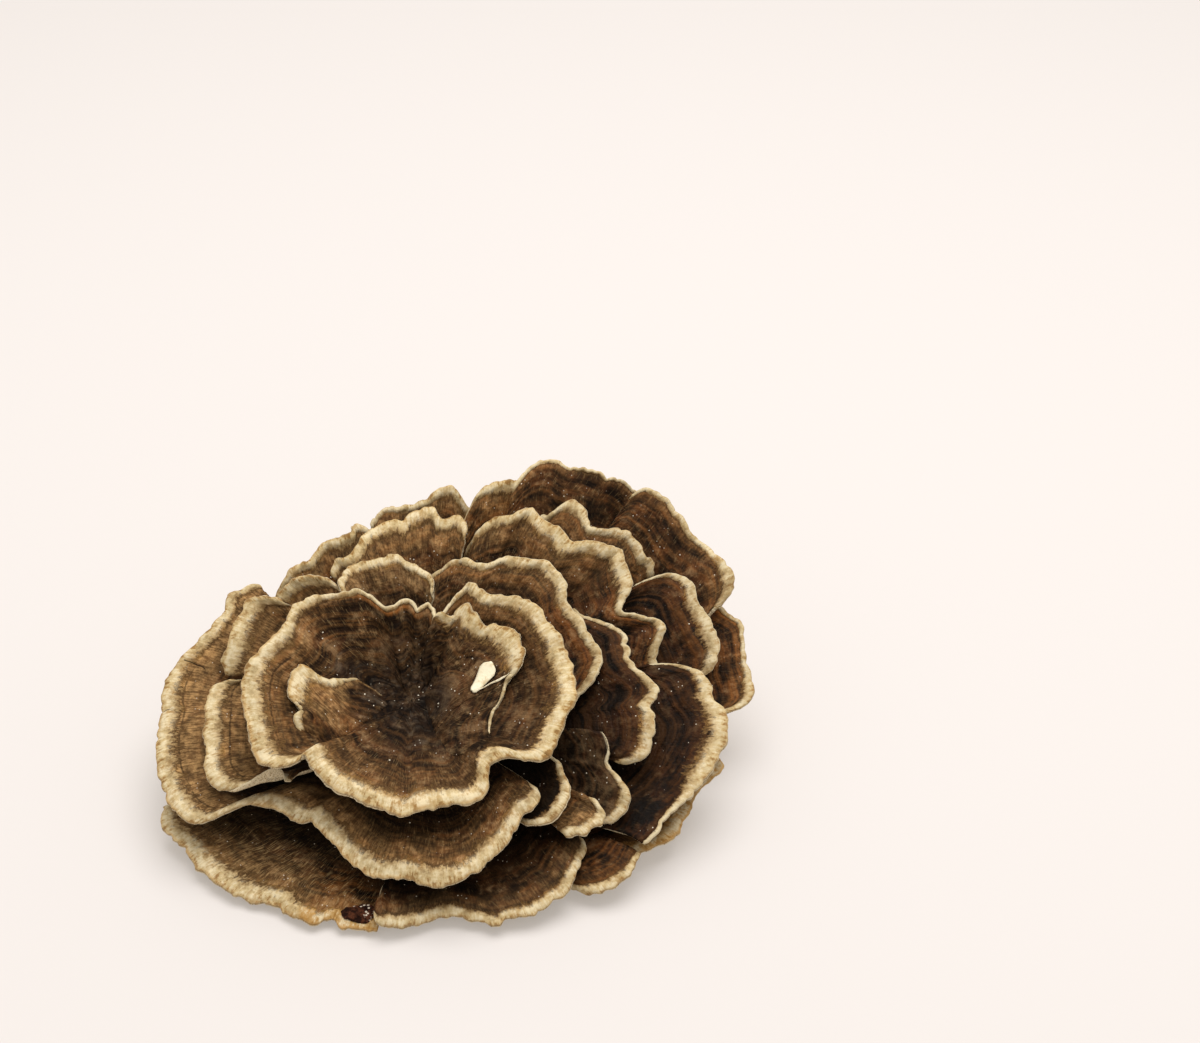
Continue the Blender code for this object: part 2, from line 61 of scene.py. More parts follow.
plainLook = dict(
    margin=4.5,             # width of the pale margin
    # dark is painted shade: black laid over the velvet of a cap where it lies in shadow
    warm=0.3, grey=0.3, cream=0.5, amber=0, dark=0,     # 0 to 1
    hairy=0.2, torn=0.2, halo=0.5,  # pale hairs, a ragged margin, a tan zone inside it
    frill=1.0, puff=0.24, roll=0.24, thick=0.85,
    curl=0, turn=1.9,       # the width of the rim that is bent up, and by what angle in radians
    bite=0,                 # how far the rim is drawn in
    white=0.1,              # a thin white edge, and past 0.5 a whitish margin
    ring=99,                # how far from the rim a dark line runs
    zoned=0.2,              # 0 mottled to 1 in smooth rings
    web=0,                  # whitish threads deep inside
    cracks=(),              # (rim point, from and to mm from the rim, slant)
    folds=(),               # (rim point, height, length inwards, width along the rim) of a part laid over
    line=0.01, sunk=0,      # of a lobe: its thin pale border, and where it merges with the crown
)

# Each cap: the stretch of foot it grows from (first and last bearing, first and last height),
# how far its middle sags (cup) and its margin rises (lip), how many cells wide its sheet is, and its
# rim as (bearing, reach, height). A look says one number for all of the rim, or numbers at some of
# its points, which count from 0.
caps = {
    "crown_cap": dict(
        closed=True, cup=1.5, lip=0.8, cells=42,
        rim=[(317, 33, 25), (325, 32, 27), (333, 31.5, 29), (340, 31, 31), (348, 29.5, 32.5),
             (357, 27, 34.5), (5, 25.5, 36.5), (15, 23.5, 38), (24, 22, 39), (34, 18, 39.5), (39, 16, 39.5),
             (56, 15, 40.5), (60, 12, 40), (65, 9, 38.5), (72, 6.4, 37.5), (82, 8, 38.5), (94, 8.5, 39),
             (105, 7.3, 38.4), (113, 10, 39), (125, 10.5, 39), (138, 10.5, 38.5), (140, 13.5, 39),
             (141, 17.5, 40), (149, 20, 40), (154, 23.5, 39.5), (160, 26.5, 39), (167, 28.5, 38),
             (174, 29, 36.5), (181, 32, 35), (187, 35, 33.5), (195, 36.5, 31), (205, 37.5, 28.5),
             (213, 38.5, 26), (218, 38.5, 24.5), (223, 36, 24.5), (225, 33, 25), (226, 31.5, 25),
             (229, 32.5, 24), (236, 33, 23), (245, 33, 21.5), (257, 33, 20.5), (265, 34, 19.7),
             (270, 32.5, 20.5), (279, 32, 20.7), (287, 33, 21), (293, 32, 22), (297, 28.5, 24),
             (300, 27.3, 24.6), (307, 28, 25), (311, 31, 25)],
        look=dict(margin={0: 4.4, 4: 4.4, 8: 3.6, 10: 3.2, 12: 2.2, 13: 1.2, 20: 0.9, 23: 1.2, 25: 2,
            27: 3.2, 29: 4.4, 33: 4.6, 36: 4.2, 38: 4.4, 42: 4.8, 45: 4.2, 49: 4.4},
            amber={0: 0.1, 10: 0.3, 13: 0.7, 20: 0.8, 25: 0.5, 28: 0.15, 49: 0.1},
            warm={0: 0.2, 13: 0.5, 22: 0.5, 27: 0.35, 33: 0.4, 37: 0.3, 49: 0.2},
            grey={0: 0.5, 14: 0.5, 22: 0.7, 30: 0.3, 37: 0.4, 49: 0.5},
            cream={0: 0.9, 10: 0.9, 14: 0.6, 26: 0.7, 36: 0.65, 49: 0.8},
            halo={0: 0.1, 12: 0.3, 20: 0, 26: 0.3, 36: 0.3, 49: 0.2},
            white={0: 0.1, 11: 0.3, 13: 0.5, 22: 0.45, 26: 0.1, 47: 0.2},
            zoned={0: 0.35, 14: 0.15, 28: 0.15, 40: 0.35, 49: 0.35},
            ring={0: 99, 27: 99, 28: 5.8, 31: 5.2, 34.5: 5.6, 35.5: 9, 36: 99}, web=0.16,
            dark={0: 0.45, 6: 0.35, 11: 0.05, 40: 0, 46: 0.35, 49: 0.45},
            cracks=((33.5, 13, 22, 0.1), (13, 9, 15, 0.2)), folds=((36.2, 1.5, 15, 9),))),
    "back_cap_inner_left": dict(
        foot=(142, 102, 26, 27), cup=1, lip=0.6, cells=9,
        rim=[(143, 22.5, 38), (138, 25, 38.5), (128, 26.5, 39), (116, 24, 40), (108, 23.5, 40.5),
             (104, 21.5, 40), (95, 18.5, 40), (89, 16, 39.5), (87, 13, 38)],
        look=dict(margin={0: 1.6, 2: 2.4, 5: 2.4, 7: 1.8, 8: 1.2}, cream=0.8, grey=0.6, dark=0.15)),
    "back_cap_inner_right": dict(
        foot=(100, -8, 27, 20), cup=1, lip=0.6, cells=15,
        rim=[(92, 21.5, 34.5), (87, 23, 36), (80, 24, 38), (73, 23.5, 39.5), (60, 22.5, 40.5), (55, 26, 41),
             (46, 29, 40.5), (43, 31.5, 40), (39, 32, 39), (32, 32, 37.5), (25, 30.5, 35), (18, 32, 33),
             (11, 33.5, 31), (5, 34.5, 29.5), (-1, 33.5, 28.5), (-5, 32, 27), (-10, 30, 25.5)],
        look=dict(margin={0: 1, 2: 1.4, 4: 1.8, 6: 3, 9: 3, 10: 2.2, 12: 2.2, 14: 1.8, 16: 1.2},
            amber={0: 0.7, 4: 0.7, 8: 0.3, 10: 0.9, 16: 0.9}, cream={0: 0.8, 6: 0.6, 16: 0.4}, grey=0.4,
            zoned={0: 0.3, 8: 0.5, 10: 0.95}, white={0: 0.2, 8: 0.5, 16: 0.5})),
    "left_cap_lower": dict(
        foot=(178, 214, 20, 19.5), cup=1.5, lip=1, cells=12,
        rim=[(176, 39.5, 24), (177, 43.5, 22.5), (183, 44, 22), (193, 44.5, 21), (203, 46, 19.5),
             (208, 46.5, 18.5), (211, 45, 17.5), (214, 41, 17), (217, 37.5, 17.5), (219, 34.5, 18.5),
             (221, 33.5, 19)],
        look=dict(margin={0: 2.5, 1: 3.8, 3: 4, 5: 4, 7: 3.4, 8: 2.6, 9: 1.6, 9.8: 0.3, 10: 0.3}, halo=0.7,
            ring={0: 4.9, 6: 5.2, 9: 6}, white={0: 0.1, 6.2: 0.1, 7.4: 1, 9: 1, 9.6: 0},
            cream={0: 0.6, 10: 0.5}, curl={0: 0, 6.3: 0, 7.3: 2.2, 8.1: 2.8, 8.8: 1.4, 9.5: 0, 10: 0})),
    "left_cap_upper": dict(
        foot=(148, 170, 22, 20.5), cup=1.5, lip=0.8, cells=9,
        rim=[(152, 35, 34), (152.5, 40, 33), (154, 42, 31.5), (158, 42.5, 29.5), (163, 42.5, 27.5),
             (166, 42.5, 25.5), (168, 43, 23.5), (170, 42.5, 21.5)],
        look=dict(margin={0: 3.2, 3: 4.6, 5: 4.6, 7: 3}, cream=0.7)),
    "left_cap_back": dict(
        foot=(136, 148, 22, 20), cup=1.5, lip=0.8, cells=8,
        rim=[(137, 26, 37.5), (138, 30, 37), (139, 34, 35.5), (140, 37, 33.5), (141.5, 39, 31.5),
             (144, 41, 29)],
        look=dict(margin={0: 2.6, 2: 3.6, 4: 3.8, 5: 3.2}, cream=0.8, warm=0.5)),
    "back_cap_left": dict(
        foot=(129, 90, 20, 22), cup=1.5, lip=0.8, cells=15,
        rim=[(132, 31.5, 35), (128, 32, 37), (126, 30, 38.5), (121, 30.5, 40), (117, 32, 41), (112, 33, 42),
             (105, 33, 43), (102, 32.5, 42.5), (98, 33.5, 43.5), (91, 34.5, 44.5), (89, 32.7, 44),
             (85, 31.7, 44), (82, 33, 44), (79, 32, 43.5), (77, 30, 42.5)],
        look=dict(margin={0: 2.2, 3: 3, 8: 3.4, 12: 3.2, 14: 2.6}, cream={0: 1, 8: 1, 14: 0.8}, amber=0.3)),
    "left_front_cap": dict(
        foot=(142, 312, 14, 19.5), cup=1, lip=1.2, cells=30,
        rim=[(143, 46, 30.5), (143, 47, 31), (147, 48.5, 29.5), (149, 50, 28.5), (152, 49, 26.5),
             (157, 50, 24), (161, 52.5, 21.5), (167, 55, 18.5), (174, 55, 16.5), (178, 54, 15.5),
             (186, 54.5, 14.5), (193, 54.5, 13.5), (201, 54, 12.5), (208, 53, 12), (211, 50.5, 11.5),
             (213, 45.5, 13), (215, 41, 14), (220, 37.5, 13), (228, 36, 12), (230, 34.5, 12.5),
             (239, 35.5, 11.5), (250, 38.5, 10.5), (258, 40.5, 10), (267, 40.5, 10), (275, 42, 10),
             (283, 42, 11), (291, 39.5, 13), (294, 38.5, 13.5), (298, 37.5, 15), (303, 36, 17),
             (307, 36.5, 18), (310, 35, 18), (311, 33, 18.5)],
        look=dict(halo={0: 0.8, 13: 1, 18: 0.8, 24: 0.2, 32: 0.2}, folds=((9.3, 0.5, 6, 5),),
            ring={0: 99, 6: 99, 7: 4.6, 13: 5, 15: 6.5, 15.5: 99},
            cracks=((9.2, 0.6, 6.5, 0.15), (6.9, 1.5, 7, 0.3)), margin={0: 1.5, 3: 2.4, 6: 3.6, 8: 4.4,
            12: 4.4, 14: 4.4, 16: 4.4, 20: 4.2, 24: 4.4, 28: 4, 32: 3},
            cream={0: 0.9, 8: 0.85, 13: 0.7, 16: 0.35, 20: 0.5, 26: 0.65, 32: 0.5},
            warm={0: 0.6, 8: 0.5, 16: 0.3, 32: 0.3}, grey={0: 0.3, 16: 0.6, 22: 0.3})),
    "small_curl_cap": dict(
        foot=(325, 305, 19, 16.7), cup=2.5, lip=0.3, cells=11,
        rim=[(326, 29, 20.5), (325.2, 32, 20), (322.5, 34.3, 19.5), (319, 37, 19), (316, 38.5, 18.5),
             (312, 39.2, 17.5), (309, 39.7, 16.5), (306, 38.6, 15.5), (304, 36.3, 14.5), (303, 34, 14)],
        look=dict(margin={0: 0.6, 2: 2, 5: 2.6, 9: 2.2}, cream=0.5, dark=0.9, zoned=0.6)),
    "small_cap_low": dict(
        foot=(317, 328, 14, 15.5), cup=0.5, lip=0.4, cells=7,
        rim=[(311.5, 41.5, 12.5), (314, 42.5, 12.8), (316.5, 44.3, 13), (319, 44.5, 13.5), (322, 44.3, 14),
             (323, 42.8, 15), (324, 40, 15.3)],
        look=dict(margin={0: 2.4, 3: 2.8, 6: 1.8}, cream=0.6, frill=1.5)),
    "small_cap_middle": dict(
        foot=(341, 325, 19.5, 12.2), cup=1, lip=0.6, cells=10,
        rim=[(339.5, 36, 23), (338.3, 37.7, 21.5), (337, 39, 19.5), (335, 39.7, 17.5), (333.5, 42.3, 16.5),
             (331, 45.4, 14.8), (329, 45.6, 13.2), (326.5, 45.2, 12), (324.5, 44, 11.5), (323.5, 41, 11.8)],

        look=dict(margin={0: 0.04, 1.4: 0.04, 2: 0.3, 3: 0.7, 4: 1.5, 6: 2.4, 9: 2.2},
            cream={0: 0.4, 9: 0.8}, grey=0.7, dark=0.5, zoned=0.8,
            white={0: 0.2, 1.4: 0.2, 2: 0.8, 3: 0.8, 4: 0.2})),
    "right_cap_inner": dict(
        foot=(32, -17, 21, 17), cup=1, lip=0.8, cells=14,
        rim=[(31, 33.5, 31), (26, 34, 31), (22, 36, 31), (18, 38, 30.5), (15, 40, 30), (10, 40, 29),
             (4, 40, 28.5), (1, 42, 27.5), (-3, 45.5, 25.5), (-6, 45, 24.5), (-8, 43.8, 24), (-10, 45, 23),
             (-15, 45.7, 21), (-17, 45.6, 20), (-19.5, 44.8, 19), (-20.5, 43, 18.5), (-21, 41, 18)],
        look=dict(margin={0: 1.1, 6: 1.3, 8: 2.4, 11: 2.8, 15: 2.8, 16: 2},
            amber={0: 0.8, 8: 0.8, 12: 0.5, 16: 0.3}, cream={0: 0.35, 9: 0.6}, dark={0: 0.35, 16: 0.6},
            zoned=0.95, white={0: 0.5, 16: 0.4})),
    "right_cap_large": dict(
        foot=(8, -34, 15, 9.2), cup=1.5, lip=1, cells=15,
        rim=[(9.5, 44, 24), (9, 48.7, 24), (7.2, 51.5, 24), (6, 54, 23.5), (3, 56, 22.5), (0, 57, 21),
             (-3, 59, 19.5), (-6, 59.5, 18.5), (-9, 59, 17), (-14, 57.5, 15), (-18, 56, 14), (-22, 55, 13),
             (-27, 52.7, 12), (-32, 52.5, 11.5), (-35, 51.7, 11)],
        look=dict(margin={0: 0.7, 2: 1.1, 4: 3.4, 6: 4.4, 9: 4.2, 11: 2, 12: 0.9, 14: 0.6}, amber=0.5,
            cream={0: 0.6, 9: 0.7, 14: 0.6}, dark=0.55, zoned=1,
            white={0: 0.5, 2: 0.5, 4: 0.2, 10: 0.3, 11: 0.5})),
    "back_cap_centre": dict(
        foot=(86, 14, 20, 15), cup=2, lip=0.8, cells=22,
        rim=[(79, 28, 38), (76, 30.5, 41.5), (71, 31.5, 44), (68, 33, 44.5), (62, 35, 45), (59, 38.3, 45),
             (55, 38, 44), (51, 37.7, 43.5), (48, 38.4, 43), (45, 38.2, 42), (42, 38.5, 41.5),
             (40, 41, 41.5), (38, 43, 41), (36, 44.6, 40), (35, 46.7, 39), (32, 46, 37.5), (30, 46, 36),
             (27, 45.7, 35), (24.5, 43, 33.5), (22.5, 41, 31.5), (21.5, 44, 30.5), (20.5, 47, 29.5),
             (19.5, 49.5, 28.5), (18, 49.5, 28), (16, 48, 26), (14, 46.4, 24.5), (11, 46, 23),
             (10, 44, 22)],
        look=dict(margin={0: 1.5, 2: 2.6, 6: 3, 8: 4, 11: 4.2, 17: 4, 18: 2.4, 19: 1.2, 21: 1.9, 24: 2.2,
            27: 1.5}, amber={0: 0.1, 14: 0.3, 17: 0.8, 20: 1, 27: 1},
            cream={0: 0.9, 8: 0.9, 16: 0.6, 27: 0.5}, zoned={0: 0.3, 12: 0.5, 16: 0.95},
            white={0: 0.1, 16: 0.3, 19: 0.5}, folds=((6.8, 1.1, 6, 6), (10.3, 0.9, 6, 8)))),
    "right_cap_upper": dict(
        foot=(32, 8, 13, 10), cup=2.5, lip=1, cells=14,
        rim=[(30, 47, 32), (29.5, 53, 33), (28.5, 56, 32.5), (26.5, 58, 32), (25, 58.5, 31),
             (23, 58.5, 29.5), (21, 59, 28), (18, 59.6, 26.5), (16, 60, 25), (14, 60, 23.5), (12, 59, 22),
             (11, 57.6, 20.5), (10.5, 55.8, 19.5)],
        look=dict(margin={0: 0.9, 2: 1.6, 4: 2.8, 8: 3.4, 11: 3.2, 12: 2}, amber=0.7, warm=0.4, cream=0.3,
            dark=0.35, zoned=0.95, white=0.5)),
    "back_cap_right": dict(
        foot=(62, 34, 14, 11.5), cup=2.5, lip=0.6, cells=14,
        rim=[(59, 42, 41), (56, 42.5, 42), (55, 44, 43), (53, 45.2, 44), (51, 46, 44), (48, 45.7, 43.5),
             (45, 45.2, 42.5), (43, 45.5, 41.5), (41, 48, 40.5), (39, 50.6, 40), (38, 52, 39),
             (36, 52.4, 37), (34.7, 52.2, 35.5), (34, 54, 34), (33, 54, 32.5), (32.5, 53.4, 30),
             (31.5, 51.6, 28.5)],
        look=dict(margin={0: 1.4, 3: 2.6, 6: 2.2, 9: 2.6, 13: 2.6, 16: 1.4}, amber=0.6, cream=0.5,
            frill=1.4, zoned=0.6)),
    "bottom_cap_front": dict(
        foot=(319, 258, 8.2, 6.5), cup=0.5, lip=1, cells=16,
        rim=[(319, 38.5, 8), (317.5, 42.5, 7.5), (314, 44, 7), (311, 45.7, 7), (308, 46.8, 6.5),
             (305, 47.6, 5), (301, 47.7, 4.5), (298, 47.7, 3.5), (294, 47, 3), (291, 46.6, 2.8),
             (288, 46.8, 2.5), (284, 45, 2.5), (278, 43.2, 3), (275, 43, 2.5), (271, 44, 2.5),
             (266, 45.5, 2.8), (262, 46.5, 3.2), (260, 46, 3.8), (259, 43, 4.5)],
        look=dict(margin={0: 0.8, 1: 1.8, 4: 2.6, 9: 2.2, 13: 2.6, 16: 2.8, 17: 1.2, 18: 0.2},
            cream={0: 0.4, 5: 0.75, 11: 0.7, 18: 0.35}, dark=0.2, zoned=0.6)),
    "bottom_cap_left": dict(
        foot=(190, 262, 8, 4.5), cup=1, lip=0.8, cells=16,
        rim=[(197, 54.3, 7), (201, 55.3, 5.5), (204, 55, 5), (207, 53.2, 4), (210, 52.6, 3.5),
             (216, 52.3, 3), (222, 52, 2.3), (228, 50, 2), (231, 48.5, 2), (235, 47.8, 2), (238, 48.2, 1.8),
             (243, 48, 1.8), (246, 47.4, 1.5), (248, 46, 1.8), (252, 46.6, 1.5), (258, 46, 1.5),
             (260, 45, 1.5)],
        look=dict(margin={0: 3.2, 3: 4.2, 6: 5, 9: 4.4, 11: 3.2, 16: 2.6},
            cream={0: 0.6, 8: 0.6, 10: 0.9, 16: 1}, warm={0: 0.2, 9: 0.3, 11: 1, 16: 1}, grey=0.5,
            hairy={0: 0.9, 12: 0.6}, torn=1, halo=0.5, frill=1.3, dark={0: 0.1, 5: 0.2, 12: 0.15},
            folds=((2.5, 0.6, 6, 4), (10.6, 0.7, 6, 4)))),
    "right_front_cap": dict(
        foot=(327, 307, 6.3, 5), cup=0.5, lip=0.8, cells=9,
        rim=[(325, 51, 8.5), (323.5, 51.5, 8), (321, 52, 7), (318, 52, 6), (315, 51.5, 5), (313, 50.4, 4),
             (311, 48.5, 3), (310, 46, 2.5), (309, 44.3, 2.5)],
        look=dict(margin={0: 0.8, 2: 1.4, 4: 2.4, 8: 2.6}, amber=0.7, warm=0.6, cream=0.7, zoned=0.8,
            dark=0.3)),
    "bottom_cap_right": dict(
        foot=(-6, -28, 6, 3.6), cup=0.5, lip=0.6, cells=10,
        rim=[(-7, 58, 12), (-9, 59, 11), (-12, 57, 10), (-15, 54.6, 8), (-18, 54.6, 7), (-23, 53.8, 6),
             (-27, 52.8, 5.5), (-30, 51.4, 5), (-32, 50.3, 5), (-34, 48.8, 4.5)],
        look=dict(margin=3.5, warm=0.9, cream=1)),
    "rear_cap_right": dict(
        foot=(48, 18, 10, 8), cup=3, lip=0.6, cells=14,
        rim=[(45, 57, 43), (44, 60, 44), (41.5, 61, 43.5), (40, 62, 42.5), (39, 62.7, 41.5), (37, 63, 40.5),
             (35, 63.5, 39.5), (33, 64.5, 38), (31, 65.5, 36.5), (29, 65.5, 35.5), (27, 67, 34.5),
             (25, 67.2, 33), (23, 66.5, 31.5), (22, 64.5, 30.5), (21.5, 62.5, 30)],
        look=dict(margin={0: 0.8, 2: 1.1, 5: 1.3, 9: 1.3, 11: 3, 14: 3}, zoned=0.6, amber=0.5, warm=0.4,
            cream={0: 0.6, 9: 0.85, 11: 0.5, 14: 0.4}, dark=0.15)),
    "rear_cap_side": dict(
        foot=(20, 0, 7, 5), cup=2, lip=0.6, cells=12,
        rim=[(25, 61, 25), (24.3, 64, 25.5), (22.5, 65, 25), (21, 66.3, 24), (19, 66.8, 23),
             (17, 66.5, 21.5), (15, 66, 20), (13, 65.5, 18.5), (11, 66, 17), (8, 66, 15.5), (6.5, 64, 14.5),
             (5.5, 61.5, 14), (5, 59, 13.5)],
        look=dict(margin={0: 0.9, 5: 0.9, 7: 1.4, 9: 2.6, 12: 2.8}, amber={0: 1, 8: 0.9, 12: 0.4},
            warm={0: 0.8, 12: 0.4}, cream=0.8, zoned=0.8)),
    "rear_cap_centre": dict(
        foot=(74, 46, 9, 7), cup=3, lip=0.5, cells=12,
        rim=[(68, 43, 46), (65.5, 46.8, 48.8), (63, 49, 50), (60, 50.6, 50), (57, 50.4, 50), (54, 52, 50),
             (51.5, 53, 49), (49.5, 54, 47.5), (48.5, 57, 45.5), (47.5, 59, 43.5), (46.5, 60.5, 41)],
        look=dict(margin={0: 2.2, 2: 1, 4: 0.6, 8: 0.7, 10: 0.7}, zoned=0.5, cream=0.8,
            amber={0: 0.5, 3: 0.2, 10: 0.2}, dark=0.1)),
    "rear_cap_left": dict(
        foot=(90, 68, 8.5, 7), cup=3, lip=0.5, cells=9,
        rim=[(82, 34, 38), (80, 37, 41), (78.6, 38.5, 43), (77.5, 40, 44.5), (75.5, 42, 45.5), (73, 44, 46),
             (70.5, 46, 45.5), (68.7, 47, 44.5), (66.5, 47.4, 43)],
        look=dict(margin={0: 0.8, 3: 0.9, 4: 2.2, 5: 3.4, 7: 3.4, 8: 2.4}, cream={0: 0.6, 5: 1, 8: 0.8},
            amber=0.6, warm=0.5)),
    "outer_cap_back": dict(
        foot=(118, 94, 7.5, 7), cup=3, lip=0.6, cells=10,
        rim=[(112, 35.5, 40), (110, 36.4, 42), (107, 37, 43.5), (102, 36.2, 44), (98, 36, 44.5),
             (94, 36.7, 45), (91, 38, 45.5), (88, 40, 46), (85, 40.3, 46.5), (82, 39.6, 45),
             (79, 40.2, 44.5)],
        look=dict(margin={0: 1.4, 4: 1.6, 7: 2.6, 10: 2.2}, cream=0.7, warm=0.5)),
    "outer_cap_left": dict(
        foot=(150, 121, 7.5, 6.5), cup=3, lip=0.6, cells=11,
        rim=[(142, 43, 29), (139, 42, 31), (137, 41.5, 32.5), (134, 41.3, 33.5), (132, 39.5, 34.5),
             (129, 40, 35.5), (125, 40, 37), (122, 38, 37.5), (118, 37, 39), (116, 38.6, 40),
             (114, 38.4, 40), (111, 37, 39.5)],
        look=dict(margin={0: 1.8, 4: 2.4, 8: 2.4, 11: 1.8}, cream=0.9, warm=0.6)),
}

# the two small inner lobes lie on the crown: their root and rim are (bearing, reach)
lobes = {
    "crown_lobe_right": dict(
        lift=0.5, cells=13, root=[(110, 3), (261, 5.4), (279, 13.2), (285, 19.6)],
        rim=[(62, 6.5), (48, 11), (37, 11.2), (25, 12), (19, 14.9), (7, 17.5), (356, 19), (349, 18.6),
             (343, 16.6), (332, 16.6), (321, 16.5), (310, 19.9), (301, 23.8), (296, 23.2)],
        look=dict(margin={0: 3.2, 1: 5, 2: 5, 3: 4.2, 4: 4.6, 5: 5.4, 6: 5, 7: 2.8, 8: 0.8, 9: 0.4, 10: 0.5,
            11: 0.5, 12: 0.3, 13: 0.3}, cream={0: 1, 7: 0.8, 9: 0, 13: 0}, grey=0.6, line=0.22,
            white={0: 0.4, 7: 0}, torn=0.3, halo=0, web=0.12, dark=0.2,
            sunk={0: 0, 6.5: 0, 8: 0.25, 10: 0.6, 12: 1, 13: 1})),
    "crown_lobe_left": dict(
        lift=0.5, cells=12, root=[(216, 9.3), (221, 14.5), (222, 20.5), (222, 24.8)],
        rim=[(204, 9), (194, 11), (190, 14), (191, 17), (191, 21), (188, 24), (189, 26), (194, 27.5),
             (199, 28.5), (203, 28), (207, 28.5), (210, 29), (212.5, 28)],
        look=dict(margin={0: 0.1, 2: 0.35, 3: 1, 4: 3.2, 5: 5.4, 8: 5.4, 8.8: 1.4, 9.6: 1.4, 10: 2.4, 11: 2,
            12: 0.5}, cream={0: 0.6, 5: 1, 12: 0.8}, warm=0.35, halo=0.6, line=0.12, web=0.25, hairy=0,
            bite={0: 0, 8.4: 0, 9.2: 2.4, 9.9: 0.3, 12: 0},
            sunk={0: 1, 0.8: 0.8, 2: 0.1, 3: 0, 9: 0, 10: 0.5, 11: 1, 12: 1})),
}


def place(bearing, reach, height):
    angle = math.radians(bearing)
    return Vector((reach * math.cos(angle), reach * math.sin(angle), height))


def smoothRun(points, count, closed=False):
    # evenly spaced points on a smooth curve through the given ones: count cells, count + 1 points
    if closed:
        points = points + points[:1]
        before, after = points[-2], points[1]
    else:
        before, after = 2 * points[0] - points[1], 2 * points[-1] - points[-2]
    knots = [before] + points + [after]
    dense = []
    for a, b, c, d in zip(knots, knots[1:], knots[2:], knots[3:]):
        for step in range(8):
            t = step / 8
            dense.append(0.5 * (2 * b + (c - a) * t + (2 * a - 5 * b + 4 * c - d) * t * t
                                + (3 * b - a - 3 * c + d) * t ** 3))
    dense.append(points[-1])
    steps = np.array([(b - a).length for a, b in zip(dense, dense[1:])])
    along = np.concatenate([[0], np.cumsum(steps)])
    targets = along[-1] * np.arange(count + 1) / count
    dense = np.array([tuple(point) for point in dense])
    run = np.stack([np.interp(targets, along, dense[:, axis]) for axis in range(3)], axis=1)
    return [Vector(point) for point in run.tolist()]


def rootRun(cap, count):
    if cap.get("closed"):
        return [place(*crownCentre)] * (count + 1)
    if "root" in cap:
        return smoothRun([place(*point, 0) for point in cap["root"]], count)
    first, last, low, high = cap["foot"]
    heights, radii = zip(*foot["profile"])
    run = []
    for step in range(count + 1):
        share = step / count
        height = low + (high - low) * share
        reach = float(np.interp(height, heights, radii)) - foot["rootDepth"]
        run.append(place(first + (last - first) * share, reach, height))
    return run


def sheet(cap, along, across):
    # the middle surface of a cap, row 0 at its root and the last row at its rim
    closed = cap.get("closed", False)
    flat = () if "foot" in cap or closed else (0,)
    rim = smoothRun([place(*point, *flat) for point in cap["rim"]], along, closed)
    root = rootRun(cap, along)
    lipPeak = 0.067         # the most that t ** 5 * (1 - t) comes to
    rows = []
    for j in range(across + 1):
        t = j / across
        rise = t ** 1.5 if closed else t
        fold = cap.get("lip", 0) * t ** 5 * (1 - t) / lipPeak - cap.get("cup", 0) * math.sin(math.pi * t)
        row = []
        for a, b in zip(root, rim):
            point = a.lerp(b, t)
            point.z = a.z + (b.z - a.z) * rise + fold
            row.append(point)
        rows.append(row)
    return rows


def treeOf(sheets):
    points, faces = [], []
    for rows in sheets:
        first, width = len(points), len(rows[0])
        for row in rows:
            points += row
        for j in range(len(rows) - 1):
            for i in range(width - 1):
                a = first + j * width + i
                faces.append((a, a + 1, a + width + 1, a + width))
    return BVHTree.FromPolygons(points, faces)


def roomAt(tree, point, half, upward):
    # the height that leaves half a thickness and a gap to the nearest sheet of the tree
    start = Vector((point.x, point.y, -50 if upward else 150))
    hit, normal, _, _ = tree.ray_cast(start, Vector((0, 0, 1 if upward else -1)))
    if hit is None:
        return None
    clearance = half / max(abs(normal.z), flesh["steepest"]) + flesh["gap"]
    return hit.z - clearance if upward else hit.z + clearance


def roomsAround(tree, point, half, upward, reach):
    steps = (0, 0, 0), (1, 0, 0), (-1, 0, 0), (0, 1, 0), (0, -1, 0)
    rooms = [roomAt(tree, point + Vector(step) * reach, half, upward) for step in steps]
    return [room for room in rooms if room is not None]


def settle(rows, tree):
    # moves a sheet down, smoothly, until it clears the sheets above it
    thick, thin = flesh["rootThickness"], flesh["rimThickness"]
    need = []
    for j, row in enumerate(rows):
        half = (thick + thick + (thin - thick) * j / (len(rows) - 1)) / 2
        rooms = [roomsAround(tree, point, half, True, flesh["sideReach"]) for point in row]
        need.append([max([0.0] + [point.z - room for room in found]) for point, found in zip(row, rooms)])
    need = np.array(need)
    move = need
    for _ in range(flesh["smoothing"]):
        wide = np.pad(move, 1, mode="edge")
        mean = (wide[:-2, 1:-1] + wide[2:, 1:-1] + wide[1:-1, :-2] + wide[1:-1, 2:]) / 4
        move = np.maximum(need, mean)
    for row, line in zip(rows, move.tolist()):
        for point, drop in zip(row, line):
            point.z = max(point.z - drop, flesh["lowest"])


def layOn(rows, tree, lift):
    half = (flesh["rootThickness"] + flesh["lobeThickness"]) / 2
    for j, row in enumerate(rows):
        for point in row:
            rooms = roomsAround(tree, point, half, False, flesh["lobeReach"])
            point.z = max(rooms) + lift * (j / (len(rows) - 1)) ** 2


sky = dict(rings=((1, 0, 1), (6, 0.57, 0.82), (8, 0.88, 0.47)),     # of rays: number, outwards, upwards
           start=1.5, far=45)


def shelterOf(rows, tree):
    # how much of the sky over each point of a sheet is hidden, from 0 to 1; the material paints shade by it
    rays = [place(360 / count * step, out, up) for count, out, up in sky["rings"] for step in range(count)]
    whole = sum(ray.z for ray in rays)
    starts = [point + Vector((0, 0, sky["start"])) for row in rows for point in row]
    return [sum(ray.z for ray in rays if tree.ray_cast(start, ray, sky["far"])[0]) / whole
            for start in starts]


